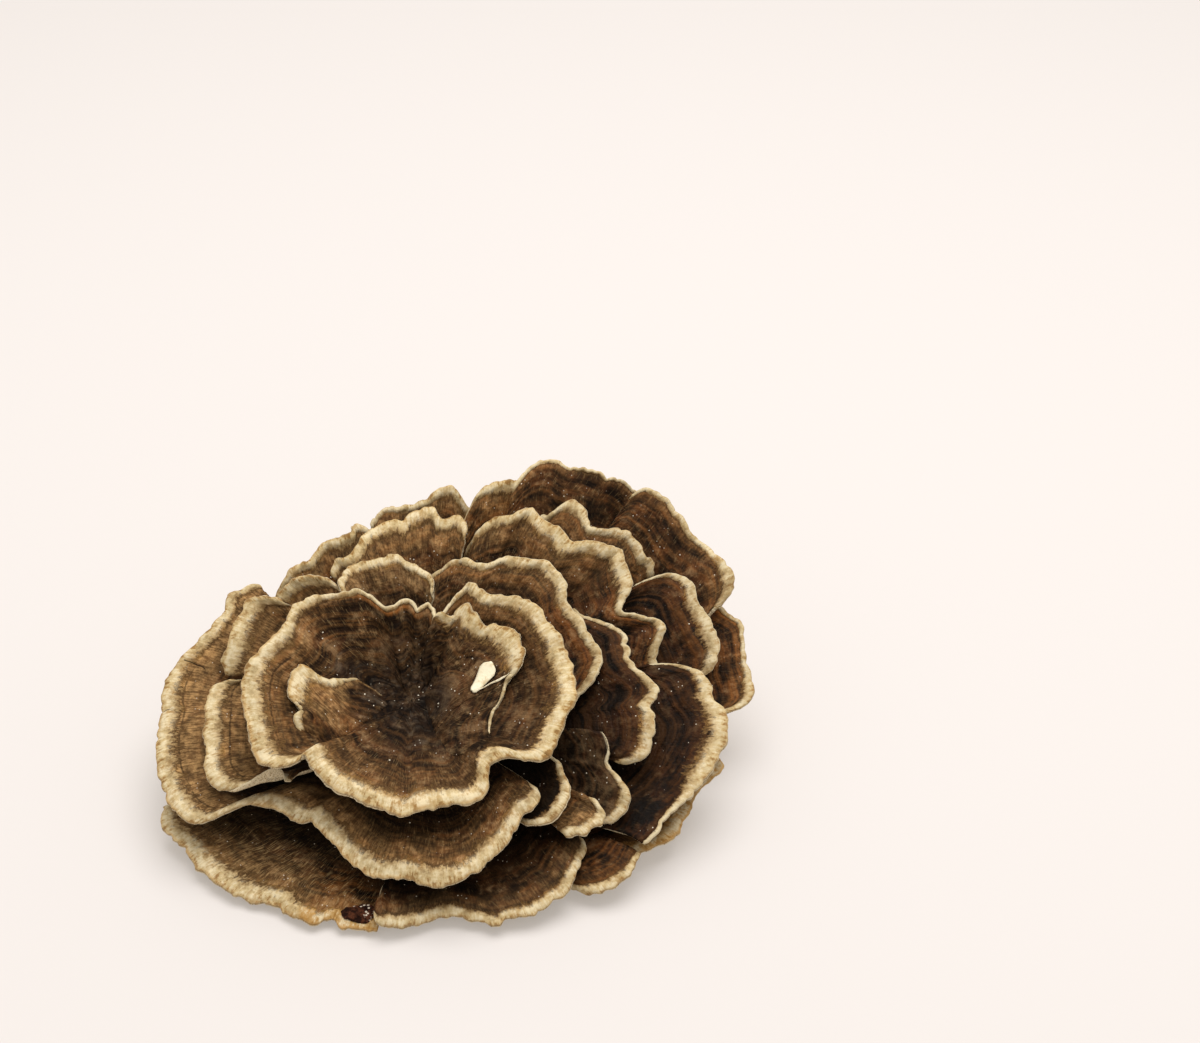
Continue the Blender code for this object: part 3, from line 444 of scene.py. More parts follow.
def settledSheets():
    # each cap under those above it, and the two small lobes on the crown: x, y, z and shelter
    found = {}
    for name, cap in caps.items():
        rows = sheet(cap, cap["cells"] * flesh["perCell"], flesh["rows"])
        if found:
            settle(rows, treeOf(found.values()))
        found[name] = rows
    crown = treeOf([found["crown_cap"]])
    for name, lobe in lobes.items():
        found[name] = sheet(lobe, lobe["cells"] * flesh["perCell"], flesh["rows"])
        layOn(found[name], crown, lobe["lift"])
    every = treeOf(found.values())
    for name, rows in found.items():
        points = np.array([[tuple(point) for point in row] for row in rows])
        found[name] = np.dstack([points, np.array(shelterOf(rows, every)).reshape(points.shape[:2])])
    return found


def curved(grid, at, closed=False):
    # smooth values between the columns of a grid
    if closed:
        wide = np.concatenate([grid[:, -2:-1], grid, grid[:, 1:2]], axis=1)
    else:
        first, last = 2 * grid[:, :1] - grid[:, 1:2], 2 * grid[:, -1:] - grid[:, -2:-1]
        wide = np.concatenate([first, grid, last], axis=1)
    k = np.minimum(at.astype(int), grid.shape[1] - 2)
    t = (at - k)[None, :, None]
    a, b, c, d = wide[:, k], wide[:, k + 1], wide[:, k + 2], wide[:, k + 3]
    return b + 0.5 * t * (c - a + t * (2 * a - 5 * b + 4 * c - d + t * (3 * (b - c) + d - a)))


unjoined = 100000           # cells, so many that waves never come round to their start


def ripple(u, v, cells, seed):
    # smooth random waves from -1 to 1 over (u, v), joined up after the given number of cells along u
    def at(i, j):
        value = np.sin((i % cells) * 127.1 + j * 311.7 + seed * 74.7) * 43758.5453
        return 2 * (value - np.floor(value)) - 1
    i, j = np.floor(u), np.floor(v)
    s, t = u - i, v - j
    s, t = s * s * (3 - 2 * s), t * t * (3 - 2 * t)
    low = at(i, j) * (1 - s) + at(i + 1, j) * s
    high = at(i, j + 1) * (1 - s) + at(i + 1, j + 1) * s
    return low * (1 - t) + high * t


def lengthOf(points, axis):
    steps = np.linalg.norm(np.diff(points, axis=axis), axis=2)
    return np.concatenate([np.zeros_like(steps.take([0], axis)), np.cumsum(steps, axis=axis)], axis=axis)


def unit(vectors):
    return vectors / np.maximum(np.linalg.norm(vectors, axis=-1, keepdims=True), 1e-9)


def normalsOf(points, closed):
    if closed:
        wide = np.concatenate([points[:, -2:-1], points, points[:, 1:2]], axis=1)
        along = (wide[:, 2:] - wide[:, :-2]) / 2
    else:
        along = np.gradient(points, axis=1)
    found = np.cross(along, np.gradient(points, axis=0))
    if found[..., 2].sum() < 0:
        found = -found
    if closed:
        found[0] = unit(found[1]).mean(axis=0)
    return unit(found)


def crownTop(points):
    # the height of the crown's upper face at each point
    tree = treeOf([sheets["crown_cap"][..., :3].tolist()])
    half = flesh["rootThickness"] / 2 * 0.8
    tops = [roomAt(tree, Vector(point), half, False) for point in points.reshape(-1, 3).tolist()]
    tops = [top - flesh["gap"] if top is not None else 99.0 for top in tops]
    return np.array(tops).reshape(points.shape[:2])


relief = dict(
    # random waves: height, width along the rim, depth inwards, turn
    pleats=((1, 3.4, 60, 17), (0.5, 1.5, 60, 2)), lift=((0.28, 5.5, 60, 3), (0.10, 1.9, 60, 4)),
    scallops=((0.32, 4.6, 60, 1),), teeth=((0.26, 0.95, 60, 10),), swell=((0.5, 4.5, 8, 16),),
    wander=((1.1, 14, 60, 5), (0.4, 4, 60, 6)), fibres=((0.07, 1.2, 12, 8), (0.06, 0.9, 3, 11)),
    crimps=((0.14, 2.4, 4, 12),),
    lumps=((0.40, 8, 9), (0.16, 2.6, 14)),      # on the whole cap: height, width, turn
    pleatDepth=0.6, pleatPuff=0.10, pleatLevel=0.4,
    puffed=(0.45, 0.40), grooved=(1.15, 0.22), crimped=(0.5, 0.7),  # middle and width, in margin widths
    groove=0.22, rollWidth=1.6, rings=0.10, ringWidth=1.5,
    rimFade=3.0, teethFade=1.2, liftFade=2.6,   # how far inwards the rim's waves die away
    outwardRow=9,                               # the rim grows away from this row
    narrowed=0.95,                              # the margins, of the width that the looks say
    rootFade=6, crownFade=20,                   # how far from the root the rings and fibres fade
    foldStray=(0.35, 3), crackStray=(0.5, 1.6), # how far a fold or crack strays, over what length
    foldStep=0.5, foldEnd=1.4, crackDepth=0.25, crackSpread=0.3, edgeRound=0.6,
    curlOnset=1.6, curlRise=0.35, curlReach=7,
    lobeRoot=6,                                 # how far from its root a lobe sinks in
)
painted = dict(     # what the material reads at each point, three values to a name
    growth=("edge", "band", "rimLength"), state=("warm", "grey", "cream"), tone=("depth", "amber", "dark"),
    feel=("hairy", "torn", "halo"), signs=("cut", "web", "white"), spot=("ring", "zoned", "shelter"))


def grown(name, cap, grid, seed):
    # the fine shape of one cap: its middle, upper and lower points and what its material reads
    closed, isLobe = cap.get("closed", False), name in lobes
    look = {**plainLook, **cap.get("look", {})}

    # columns evenly along the rim, and rows that are close together near it
    rimLength = float(lengthOf(grid[-1:, :, :3], 1)[0, -1])
    columns = max(int(rimLength / flesh["columnWidth"]), 24)
    wide = curved(grid, np.linspace(0, grid.shape[1] - 1, columns + 1), closed)
    tall = curved(wide.transpose(1, 0, 2), np.linspace(0, flesh["rows"], 8 * flesh["rows"] + 1))
    tall = tall.transpose(1, 0, 2)[::-1]
    deep = lengthOf(tall[..., :3], 0)
    reach = deep[-1]
    near = np.array(flesh["rimRows"])[:, None] * np.minimum(1, reach / flesh["rimRowsFrom"])
    rest = near[-1] + (reach - near[-1]) * np.arange(1, flesh["bodyRows"] + 1)[:, None] / flesh["bodyRows"]
    edge = np.concatenate([near, rest])
    middle = np.stack([[np.interp(edge[:, i], deep[:, i], tall[:, i, axis]) for i in range(columns + 1)]
                       for axis in range(4)], axis=-1).transpose(1, 0, 2)
    middle, shelter = middle[..., :3], np.clip(middle[..., 3], 0, 1)
    share = np.linspace(0, 1, columns + 1)[None, :] + np.zeros_like(edge)
    rimMarks = np.array([[tuple(place(*point[:2], 0)) for point in cap["rim"] + cap["rim"][:1] * closed]])
    marks = lengthOf(rimMarks, 1)[0]

    def shareAt(point):
        # the share of the rim at a numbered point
        return np.interp(point, range(len(marks)), marks) / marks[-1]

    def alongRim(key):
        # a look's one number, or its numbers at some of the rim's points
        table = look[key]
        if not isinstance(table, dict):
            return np.zeros_like(edge) + table
        if closed:
            table = {**table, len(cap["rim"]): table[0]}
        return np.interp(share, shareAt(list(table)), list(table.values()))

    def wave(width, depth, turn):
        cells = max(round(rimLength / width), 1)
        return ripple(share * cells, edge / depth + 7.3 * turn, cells if closed else unjoined, seed + turn)

    def waves(kind):
        return sum(height * wave(*size) for height, *size in relief[kind])

    def bell(kind):
        middleAt, width = relief[kind]
        return np.exp(-((band - middleAt) / width) ** 2)

    # the rim in its own plane
    band = edge / alongRim("margin") / relief["narrowed"]
    normal = normalsOf(middle, closed)
    outward = unit(middle[0] - middle[relief["outwardRow"]])[None, :, :]
    frill = look["frill"]
    pleats = sum(height * (np.abs(wave(*size)) - relief["pleatLevel"])
                 for height, *size in relief["pleats"])
    shift = frill * (waves("scallops") + relief["pleatDepth"] * pleats) - alongRim("bite")
    shift = np.exp(-edge / relief["rimFade"]) * shift
    shift = shift + np.exp(-edge / relief["teethFade"]) * frill * waves("teeth")
    middle = middle + outward * shift[..., None]

    # what rises from the plane: the puffed margin, rings, fibres, lumps, folds and cracks
    rise = np.exp(-edge / relief["liftFade"]) * frill * waves("lift")
    rise = rise + look["puff"] * (1 + waves("swell")) * bell("puffed") - relief["groove"] * bell("grooved")
    rise = rise - look["roll"] * (1 - np.minimum(edge / relief["rollWidth"], 1)) ** 2
    zone = (edge + waves("wander")) / relief["ringWidth"]
    inside = np.clip(band - 1, 0, 1)
    fade = np.clip((reach - edge) / relief["crownFade" if closed else "rootFade"], 0, 1)
    rings = relief["rings"] * inside * ripple(zone, zone * 0 + 3.5, unjoined, seed + 7)
    rise = rise + fade * (rings + waves("fibres"))
    rise = rise + bell("crimped") * (relief["pleatPuff"] * pleats + waves("crimps"))
    for height, width, turn in relief["lumps"]:
        flat = middle[..., :2] / width + 50
        rise = rise + inside * height * ripple(flat[..., 0], flat[..., 1], unjoined, seed + turn)
    stray, over = relief["foldStray"]
    for at, height, length, width in look["folds"]:
        away = (share - shareAt(at)) * rimLength
        away = away + stray * ripple(edge / over, edge * 0, unjoined, seed + 13)
        step = np.clip(away / relief["foldStep"] + 0.5, 0, 1)
        side = np.where(away > 0, np.exp(-np.abs(away / width)), 0)
        ended = np.clip(relief["foldEnd"] - edge / length, 0, 1)
        rise = rise + height * step * np.maximum(side, 1 - step) * ended
    cut = np.ones_like(edge)
    stray, over = relief["crackStray"]
    for at, start, end, slant in look["cracks"]:
        away = (share - shareAt(at)) * rimLength - slant * (edge - start)
        away = away + stray * ripple(edge / over, edge * 0 + at, unjoined, seed + 15)
        beyond = np.maximum(np.maximum(start - edge, edge - end), 0)
        cut = np.minimum(cut, away ** 2 + beyond ** 2)
    rise = rise - relief["crackDepth"] * np.clip(1 - cut / relief["crackSpread"], 0, 1)
    middle = middle + normal * rise[..., None]

    # a rim that is bent up
    curl = np.maximum(alongRim("curl"), 0.01)
    turned = look["turn"] * np.clip((curl - edge) / curl * relief["curlOnset"], 0, 1)[:-1, :, None]
    steps = middle[:-1] - middle[1:]
    lifted = normal[:-1] * np.linalg.norm(steps, axis=-1, keepdims=True)
    steps = np.cos(turned) * steps + np.sin(turned) * lifted
    middle[:-1] = middle[-1:] + np.cumsum(steps[::-1], axis=0)[::-1]
    middle[..., 2] += relief["curlRise"] * alongRim("curl") * np.clip(1 - edge / relief["curlReach"], 0, 1)

    # the thickness, rounded off at the rim and at the sides; a lobe sinks into the crown at its root
    normal = normalsOf(middle, closed)
    rimHalf, rootHalf = look["thick"] / 2, flesh["rootThickness"] / 2 * 0.86
    half = rimHalf + (rootHalf - rimHalf) * np.clip(edge / np.maximum(reach, 1), 0, 1)
    half = half * np.clip(normal[..., 2] / flesh["steepest"], 0.4, 1)
    around = edge
    if not closed:
        side = lengthOf(middle, 1)
        border = np.minimum(side, side[:, -1:] - side)
        if isLobe:
            border = np.minimum(border, reach - edge)
            fromRoot = (reach - edge) / relief["lobeRoot"]
            sink = np.maximum(alongRim("sunk"), np.clip(1.1 - fromRoot, 0, 1) ** 1.3)
            low = crownTop(middle) - flesh["lobeThickness"]
            middle[..., 2] += np.minimum(low - middle[..., 2], 0) * sink
            band = np.minimum(band, border / look["line"] + 0.2 + 2 * sink)
        around = np.minimum(edge, border)
    half = half * np.sqrt(1 - (1 - np.minimum(around / relief["edgeRound"], 1)) ** 2) + 0.02
    upper, lower = middle + normal * half[..., None], middle - normal * half[..., None]
    floorHeight = np.minimum(lower[..., 2], 0)
    upper[..., 2] -= floorHeight
    lower[..., 2] -= floorHeight

    depth = np.clip(edge / np.maximum(reach, 1), 0, 1)
    # painted shade: depth here says where the funnel is painted dark
    if closed or isLobe:    # the funnel is dark round its centre and along a hollow beside it
        fromCentre = middle[..., :2] - np.array(place(*crownCentre))[:2]
        spine = np.array(hollowShade["far"])
        ahead = np.clip(fromCentre @ spine / (spine @ spine), 0, 1)
        away = np.linalg.norm(fromCentre - ahead[..., None] * spine, axis=-1)
        depth = np.clip(1 - away / (hollowShade["wide"] - hollowShade["taper"] * ahead), 0, 1)
    if isLobe:
        atRoot = np.clip(1.3 - fromRoot, 0, 1)
        depth = depth * (atRoot + (1 - atRoot) * hollowShade["onLobes"])
    known = dict(edge=edge, band=band, rimLength=np.zeros_like(edge) + rimLength, depth=depth, cut=cut,
                 shelter=shelter, ring=edge - alongRim("ring"),
                 web=alongRim("web") * np.clip(depth * 3 - 1, 0, 1))
    return middle, upper, lower, {
        key: np.stack([known[part] if part in known else alongRim(part) for part in parts], axis=-1)
        for key, parts in painted.items()}


def capMesh(parts):
    # a flat grid laid over the rows, its underside extruded from it, and both moved into place
    middle, upper, lower, values = parts
    across, along = middle.shape[0] - 1, middle.shape[1] - 1
    bm = bmesh.new()        # all layers come first: elements are found anew after one is added
    bm.loops.layers.uv.new("run")
    for key in values:
        bm.verts.layers.float_vector.new(key)
    bm.verts.layers.float.new("under")
    bm.verts.layers.int.new("place")
    bmesh.ops.create_grid(bm, x_segments=along, y_segments=across, size=1, calc_uvs=True)
    number, side = bm.verts.layers.int["place"], bm.verts.layers.float["under"]
    flat = (middle * mm).reshape(-1, 3).tolist()
    for vert in bm.verts:
        i, j = round((vert.co.x + 1) / 2 * along), round((vert.co.y + 1) / 2 * across)
        vert[number] = j * (along + 1) + i
        vert.co = flat[vert[number]]
    bmesh.ops.remove_doubles(bm, verts=bm.verts[:], dist=1e-7)
    made = bmesh.ops.extrude_face_region(bm, geom=bm.faces[:], use_keep_orig=True)["geom"]
    under = {item for item in made if isinstance(item, bmesh.types.BMVert)}
    layers = [(bm.verts.layers.float_vector[key], value.reshape(-1, 3).tolist())
              for key, value in values.items()]
    tops, bottoms = (upper * mm).reshape(-1, 3).tolist(), (lower * mm).reshape(-1, 3).tolist()
    for vert in bm.verts:
        index = vert[number]
        vert.co = bottoms[index] if vert in under else tops[index]
        vert[side] = 1.0 if vert in under else 0.0
        for layer, value in layers:
            vert[layer] = value[index]
    bm.verts.layers.int.remove(number)
    bmesh.ops.recalc_face_normals(bm, faces=bm.faces[:])
    return bm


def inScene(name, data):
    made = bpy.data.objects.new(name, data)
    bpy.context.scene.collection.objects.link(made)
    return made


def pieceOf(name, bm, material):
    mesh = bpy.data.meshes.new(name)
    bm.to_mesh(mesh)
    bm.free()
    mesh.materials.append(material)
    return inScene(name, mesh)


def finished(name, bm, material, node):
    # the piece as an object at the origin, in the place of its CAD node
    piece = pieceOf(name, bm, material)
    piece.data.shade_smooth()
    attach(piece, "root")
    if node:
        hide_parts(node)


def maths(operation, turned=False):
    # an operator of Wire, with its two sides swapped where turned
    def made(wire, other=0):
        a, b = (other, wire) if turned else (wire, other)
        return wire.paint.node("ShaderNodeMath", {"operation": operation}, {0: a, 1: b})
    return made


class Wire:
    # one socket of a material: sums with it add Math nodes
    def __init__(self, paint, socket):
        self.paint, self.socket = paint, socket

    __add__, __radd__ = maths("ADD"), maths("ADD", True)
    __sub__, __rsub__ = maths("SUBTRACT"), maths("SUBTRACT", True)
    __mul__, __rmul__ = maths("MULTIPLY"), maths("MULTIPLY", True)
    __truediv__, __pow__, __abs__ = maths("DIVIDE"), maths("POWER"), maths("ABSOLUTE")


class Paint:
    # a material and the nodes that make it
    def __init__(self, name):
        self.material = bpy.data.materials.new(name)
        self.material.use_nodes = True
        self.tree = self.material.node_tree
        self.shader = self.tree.nodes["Principled BSDF"]

    def node(self, kind, settings=None, sockets=None, out=0):
        made = self.tree.nodes.new(kind)
        for key, value in (settings or {}).items():
            if key == "stops":      # of a ramp, which is made with a first and a last one
                for at, _ in value[1:-1]:
                    made.color_ramp.elements.new(at)
                for element, (at, shade) in zip(made.color_ramp.elements, value):
                    element.position, element.color = at, shade
            else:
                setattr(made, key, value)
        self.fill(made, sockets or {})
        return Wire(self, made.outputs[out])

    def fill(self, made, sockets):
        for key, value in sockets.items():
            if isinstance(value, Wire):
                self.tree.links.new(value.socket, made.inputs[key])
            else:
                made.inputs[key].default_value = value

    def finish(self, **sockets):
        self.fill(self.shader, {key.replace("_", " "): value for key, value in sockets.items()})
        return self.material

    def body(self):
        return self.node("ShaderNodeTexCoord", out=3)

    def read(self, name, out=1):
        return self.node("ShaderNodeAttribute", {"attribute_name": name}, out=out)

    def split(self, vector):
        made = self.node("ShaderNodeSeparateXYZ", {}, {0: vector})
        return [Wire(self, output) for output in made.socket.node.outputs]

    def joined(self, x, y, z=0.0):
        return self.node("ShaderNodeCombineXYZ", {}, {0: x, 1: y, 2: z})

    def noise(self, vector, scale, detail, roughness):
        return self.node("ShaderNodeTexNoise", {"noise_dimensions": "3D"},
                         {"Vector": vector, "Scale": scale, "Detail": detail, "Roughness": roughness})

    def cells(self, vector, scale):
        # the distance to the nearest of scattered points, and that point's own colour
        made = self.node("ShaderNodeTexVoronoi", {"feature": "F1"}, {"Vector": vector, "Scale": scale})
        return made, Wire(self, made.socket.node.outputs["Color"])

    def step(self, value, low, high, start=0.0, end=1.0):
        # a smooth change from start to end as value goes from low to high
        return self.node("ShaderNodeMapRange", {"interpolation_type": "SMOOTHSTEP"},
                         {0: value, 1: low, 2: high, 3: start, 4: end})

    def ramp(self, value, stops):
        return self.node("ShaderNodeValToRGB", {"stops": stops}, {0: value})

    def mix(self, a, b, factor, blend="MIX"):
        return self.node("ShaderNodeMix", {"data_type": "RGBA", "blend_type": blend},
                         {0: factor, 6: a, 7: b}, out=2)

    def bump(self, height, distance, strength):
        return self.node("ShaderNodeBump", {},
                         {"Height": height, "Distance": distance, "Strength": strength})


def colour(red, green, blue):
    # a colour as it is seen, 0 to 255
    return (*[(part / 255 / 12.92 if part <= 10.3 else ((part / 255 + 0.055) / 1.055) ** 2.4)
              for part in (red, green, blue)], 1.0)


capColours = {name: colour(*parts) for name, parts in dict(
    black=(16, 11, 8), dark=(40, 26, 16), brown=(98, 70, 42), tan=(178, 140, 92), orange=(162, 100, 46),
    rust=(100, 58, 32), bloom=(138, 120, 94), hair=(214, 184, 136), dust=(232, 220, 198),
    web=(168, 154, 138), white=(226, 216, 198), ochre=(190, 146, 86), streak=(142, 105, 64),
    paleCream=(255, 243, 212), gold=(226, 172, 94), night=(26, 19, 15), dusk=(92, 62, 38),
    olive=(150, 116, 72), greyCream=(200, 182, 152), haloDark=(122, 92, 60), haloPale=(192, 154, 106),
    pores=(206, 188, 154), poresDeep=(150, 124, 88)).items()}
# the ochre at the very rim is partly its own colour, partly painted shade where the rim turns down
marginRamp = [(at, colour(*parts)) for at, parts in (       # from the rim inwards
    (0, (200, 156, 96)), (0.06, (240, 208, 150)), (0.28, (252, 230, 182)), (0.50, (236, 206, 154)),
    (0.62, (190, 154, 106)), (0.74, (128, 96, 62)), (0.88, (78, 56, 36)), (1, (70, 50, 32)))]
coat = dict(    # how much of each layer shows, 0 to 1
    tan=0.7, rust=0.35, orange=0.5, amber=0.75, bloom=0.5, hairs=0.55, hollowShade=0.76, shadeUnderCaps=0.85, ring=0.65,
    greyCream=0.5, ochre=0.7, olive=0.55, gold=0.6, crestToneAndHighlight=0.85, streak=0.5, whitish=0.75, whiteEdge=1.6,
    marginShadeUnderCaps=0.5, crack=0.8, dust=0.7,
    contrast=5.4, light=0.74, tint=(0.94, 0.82),    # the tint is of green and blue
    rimStretch=1.3, bump=0.0007, gloss=0.28, specular=0.05,
)


def capMaterial(name):
    paint = Paint(name)
    noise, step = paint.noise, paint.step
    (edge, band, rimLength, warm, grey, cream, depth, amber, dark, hairy, torn, halo, cut, web, white, ring,
     zoned, shelter) = [wire for key in painted for wire in paint.split(paint.read(key))]
    under = paint.read("under", 2)
    run = paint.split(paint.node("ShaderNodeUVMap", {"uv_map": "run"}))[0] * rimLength
    body = paint.body()

    def alongRim(along, inwards, *pattern):
        return noise(paint.joined(along, inwards), *pattern)

    def layers(base, *more):
        # colours laid one over the other, each as the colour and how much of it shows
        for tint, share in more:
            base = paint.mix(base, capColours[tint] if tint in capColours else tint, share)
        return base

    # patterns, each about 0.5, by scale, detail and roughness: on the whole body, and along the rim
    mottle, patch = noise(body, 520, 4, 0.7), noise(body, 210, 3, 0.6)
    fine, wide = noise(body, 1700, 3, 0.6), noise(body, 60, 1, 0.5)
    inner = step(depth, 0.45, 0.8)
    radial = alongRim(run, edge * 0.16, 2.0, 3, 0.65)
    fibre = radial + (mottle - radial) * inner
    ragged = alongRim(run, edge * 0.5, 0.9, 4, 0.7)
    stretch = alongRim(run, edge * 0.6, 0.22, 2, 0.6)
    hairs = alongRim(run + (wide - 0.5) * 14, edge * 0.09, 4.2, 2, 0.5)
    zoneAt = edge + (wide - 0.5) * 5 + (ragged - 0.5) * 0.7
    zone, stripe = alongRim(run * 0.03, zoneAt, 1.0, 2, 0.6), alongRim(run * 0.02, zoneAt, 0.62, 2, 0.45)
    wisps = noise(paint.joined(run * 0.05, edge, patch * 3), 0.9, 3, 0.6)

    # the velvet inside the margin
    bands = step(stripe * 0.75 + patch * 0.15 + mottle * 0.1, 0.44, 0.60)
    banded = layers(capColours["night"], ("dusk", bands))
    bandAt = band + ragged - 0.5
    amberBand = step(bandAt, 0.9, 1.2) * step(bandAt, 3.0, 1.6) * amber
    amberBand = amberBand * step(zone * 0.6 + mottle * 0.4, 0.40, 0.58)
    hairy = step(hairs + hairy * 0.10, 0.60, 0.72) * (0.25 + hairy * coat["hairs"]) * (1 - inner)
    # painted shade: black deep in the crown's funnel and beside it, and towards each cap's root
    shade = step(depth + (patch - 0.5) * 0.9 + zoned * 0.2, 0.40, 0.86) * (coat["hollowShade"] - zoned * 0.01)
    # painted shade where the caps above hide the sky over the velvet
    shadeUnderCaps = step(shelter + (patch - 0.5) * 0.25, 0.42, 0.95)
    haze = layers(capColours["haloDark"], ("haloPale", step(fibre * 0.6 + mottle * 0.4, 0.42, 0.60)))
    halo = step(band + (ragged + fibre - 1) * 0.9, 3.2, 1.6) * halo * (1 - shadeUnderCaps * 0.8)
    ringAt = abs(ring + (ragged - 0.5) * 0.9)
    line = step(ringAt, 0.34, 0.08) * step(stretch * 0.6 + mottle * 0.4, 0.38, 0.50)
    velvet = layers(
        capColours["dark"],
        ("brown", step(zone * 0.45 + mottle * 0.2 + fibre * 0.1 + patch * 0.25, 0.42, 0.56)),
        ("tan", step(fine * 0.3 + mottle * 0.3 + fibre * 0.2 + patch * 0.2, 0.54, 0.64) * coat["tan"]),
        (banded, zoned),
        ("rust", step(patch, 0.46, 0.62) * (coat["rust"] + zoned * 0.1)),
        ("orange", step(patch * 0.4 + zone * 0.4 + mottle * 0.2 + warm * 0.2, 0.57, 0.77) * coat["orange"]),
        ("orange", amberBand * (coat["amber"] - zoned * 0.35)),
        ("bloom", step(patch * 0.45 + mottle * 0.55 + grey * 0.16, 0.56, 0.72) * coat["bloom"]),
        ("hair", hairy * (1 - zoned * 0.8)),
        # painted shade, laid on as black: the funnel's shade, a look's dark, and the shade under the caps
        # above
        ("black", 1 - (1 - shade) * (1 - dark) * (1 - shadeUnderCaps * coat["shadeUnderCaps"])),
        (haze, halo * (1 - zoned) * (1 - dark)),
        ("black", line * coat["ring"]),
        ("web", step(wisps * 0.6 + patch * 0.4, 0.47, 0.72) * web))

    # the pale margin, ragged inwards
    marginAt = band + (ragged - 0.5) * (1.5 + torn * 0.9) + (fibre - 0.5) * 0.8 + (patch + mottle - 1) * 0.9
    inCream = step(marginAt, 1.05, 0.8)
    blotch = step(mottle * 0.55 + patch * 0.25 + ragged * 0.2, 0.50, 0.40)
    # paler patches of cream towards the margin's crest: partly its own paler tone, partly a painted
    # highlight
    crestToneAndHighlight = step(patch * 0.3 + fibre * 0.25 + mottle * 0.45, 0.46, 0.57)
    streak = step(fibre * 0.25 + ragged * 0.3 + patch * 0.2 + mottle * 0.25, 0.48, 0.36)
    creamy = layers(
        paint.ramp(marginAt / coat["rimStretch"], marginRamp),
        ("greyCream", (1 - cream) * coat["greyCream"] * inCream),
        ("ochre", step(stretch * 0.4 + patch * 0.6 + warm * 0.12, 0.52, 0.68) * coat["ochre"]),
        ("olive", blotch * (0.15 + step(band, 0.25, 0.8) * coat["olive"])),
        ("gold", step(warm + (patch - 0.5) * 0.6, 0.6, 1.0) * inCream * coat["gold"]),
        ("paleCream", crestToneAndHighlight * step(band, 0.08, 0.25) * step(band, 0.95, 0.5) * coat["crestToneAndHighlight"]),
        ("streak", streak * (0.1 + step(band, 0.4, 0.9) * coat["streak"])),
        ("white", step(white, 0.5, 1.0) * inCream * coat["whitish"]))
    top = layers(
        velvet, (creamy, step(marginAt, 1.25, 0.95)),
        ("paleCream", step(edge, 0.5, 0.2) * white * coat["whiteEdge"]),
        # painted shade: the margin darkened where the caps above hide the sky
        ("dark", shadeUnderCaps * inCream * coat["marginShadeUnderCaps"]))

    # light and dark over all of it, cracks, and pale dust here and there
    value = fibre * 0.14 + mottle * 0.22 + fine * 0.12 + patch * 0.26 + stripe * 0.26 - 0.5
    value = value * (coat["contrast"] - inCream * 2.0) * (1 - zoned * 0.5) + 1.0
    value = value * (coat["light"] - inCream * 0.17)
    top = paint.mix(top, paint.joined(value, *(value * part for part in coat["tint"])), 1.0, "MULTIPLY")
    cell, chosen = paint.cells(body, 1250)
    often, size, strength = paint.split(chosen)
    speck = step(cell - size * 0.10, 0.13, 0.05) * step(often + (patch - 0.5) * 2 + inner * 0.2, 0.84, 0.90)
    top = layers(
        top, ("black", step(cut, 0.16, 0.04) * coat["crack"]),
        ("dust", speck * step(band, 0.8, 1.3) * (0.2 + strength * coat["dust"])))

    # the pored underside
    pore = paint.cells(paint.joined(run, edge), 3.3)[0]
    below = layers(capColours["poresDeep"], ("pores", step(pore, 0.15, 0.5)),
                   ("tan", step(wide * 0.6 + depth * 0.4, 0.5, 0.8) * 0.5))

    height = (fibre * 0.2 + mottle * 0.55 + fine * 0.25 + zone * 0.35) * (1 - inCream * 0.6)
    return paint.finish(
        Base_Color=layers(top, (below, step(under, 0.35, 0.65))),
        Normal=paint.bump(height + pore * under * 0.3, distance=coat["bump"], strength=1),
        Roughness=step(mottle, 0.3, 0.7, 0.65, 0.9) - zoned * (1 - inCream) * coat["gloss"],
        Specular_IOR_Level=coat["specular"])


foot = dict(                # the profile is given as (height, radius)
    profile=((0, 18.5), (2, 18), (5, 16), (10, 13.5), (16, 11.5), (23, 10), (30, 8), (36, 5)),
    lumps=((3, 0.045, 0.4), (5, 0.035, 2.1), (8, 0.02, 5.0)),   # waves round it, share of the radius, turn
    rootDepth=3.0,          # how far the caps reach into it
    steps=240, rings=60, topRadius=2.5,
    cut=((150, 116, 76), (206, 178, 132)), bark=((52, 38, 27), (128, 100, 70)), worn=(190, 172, 140),
)


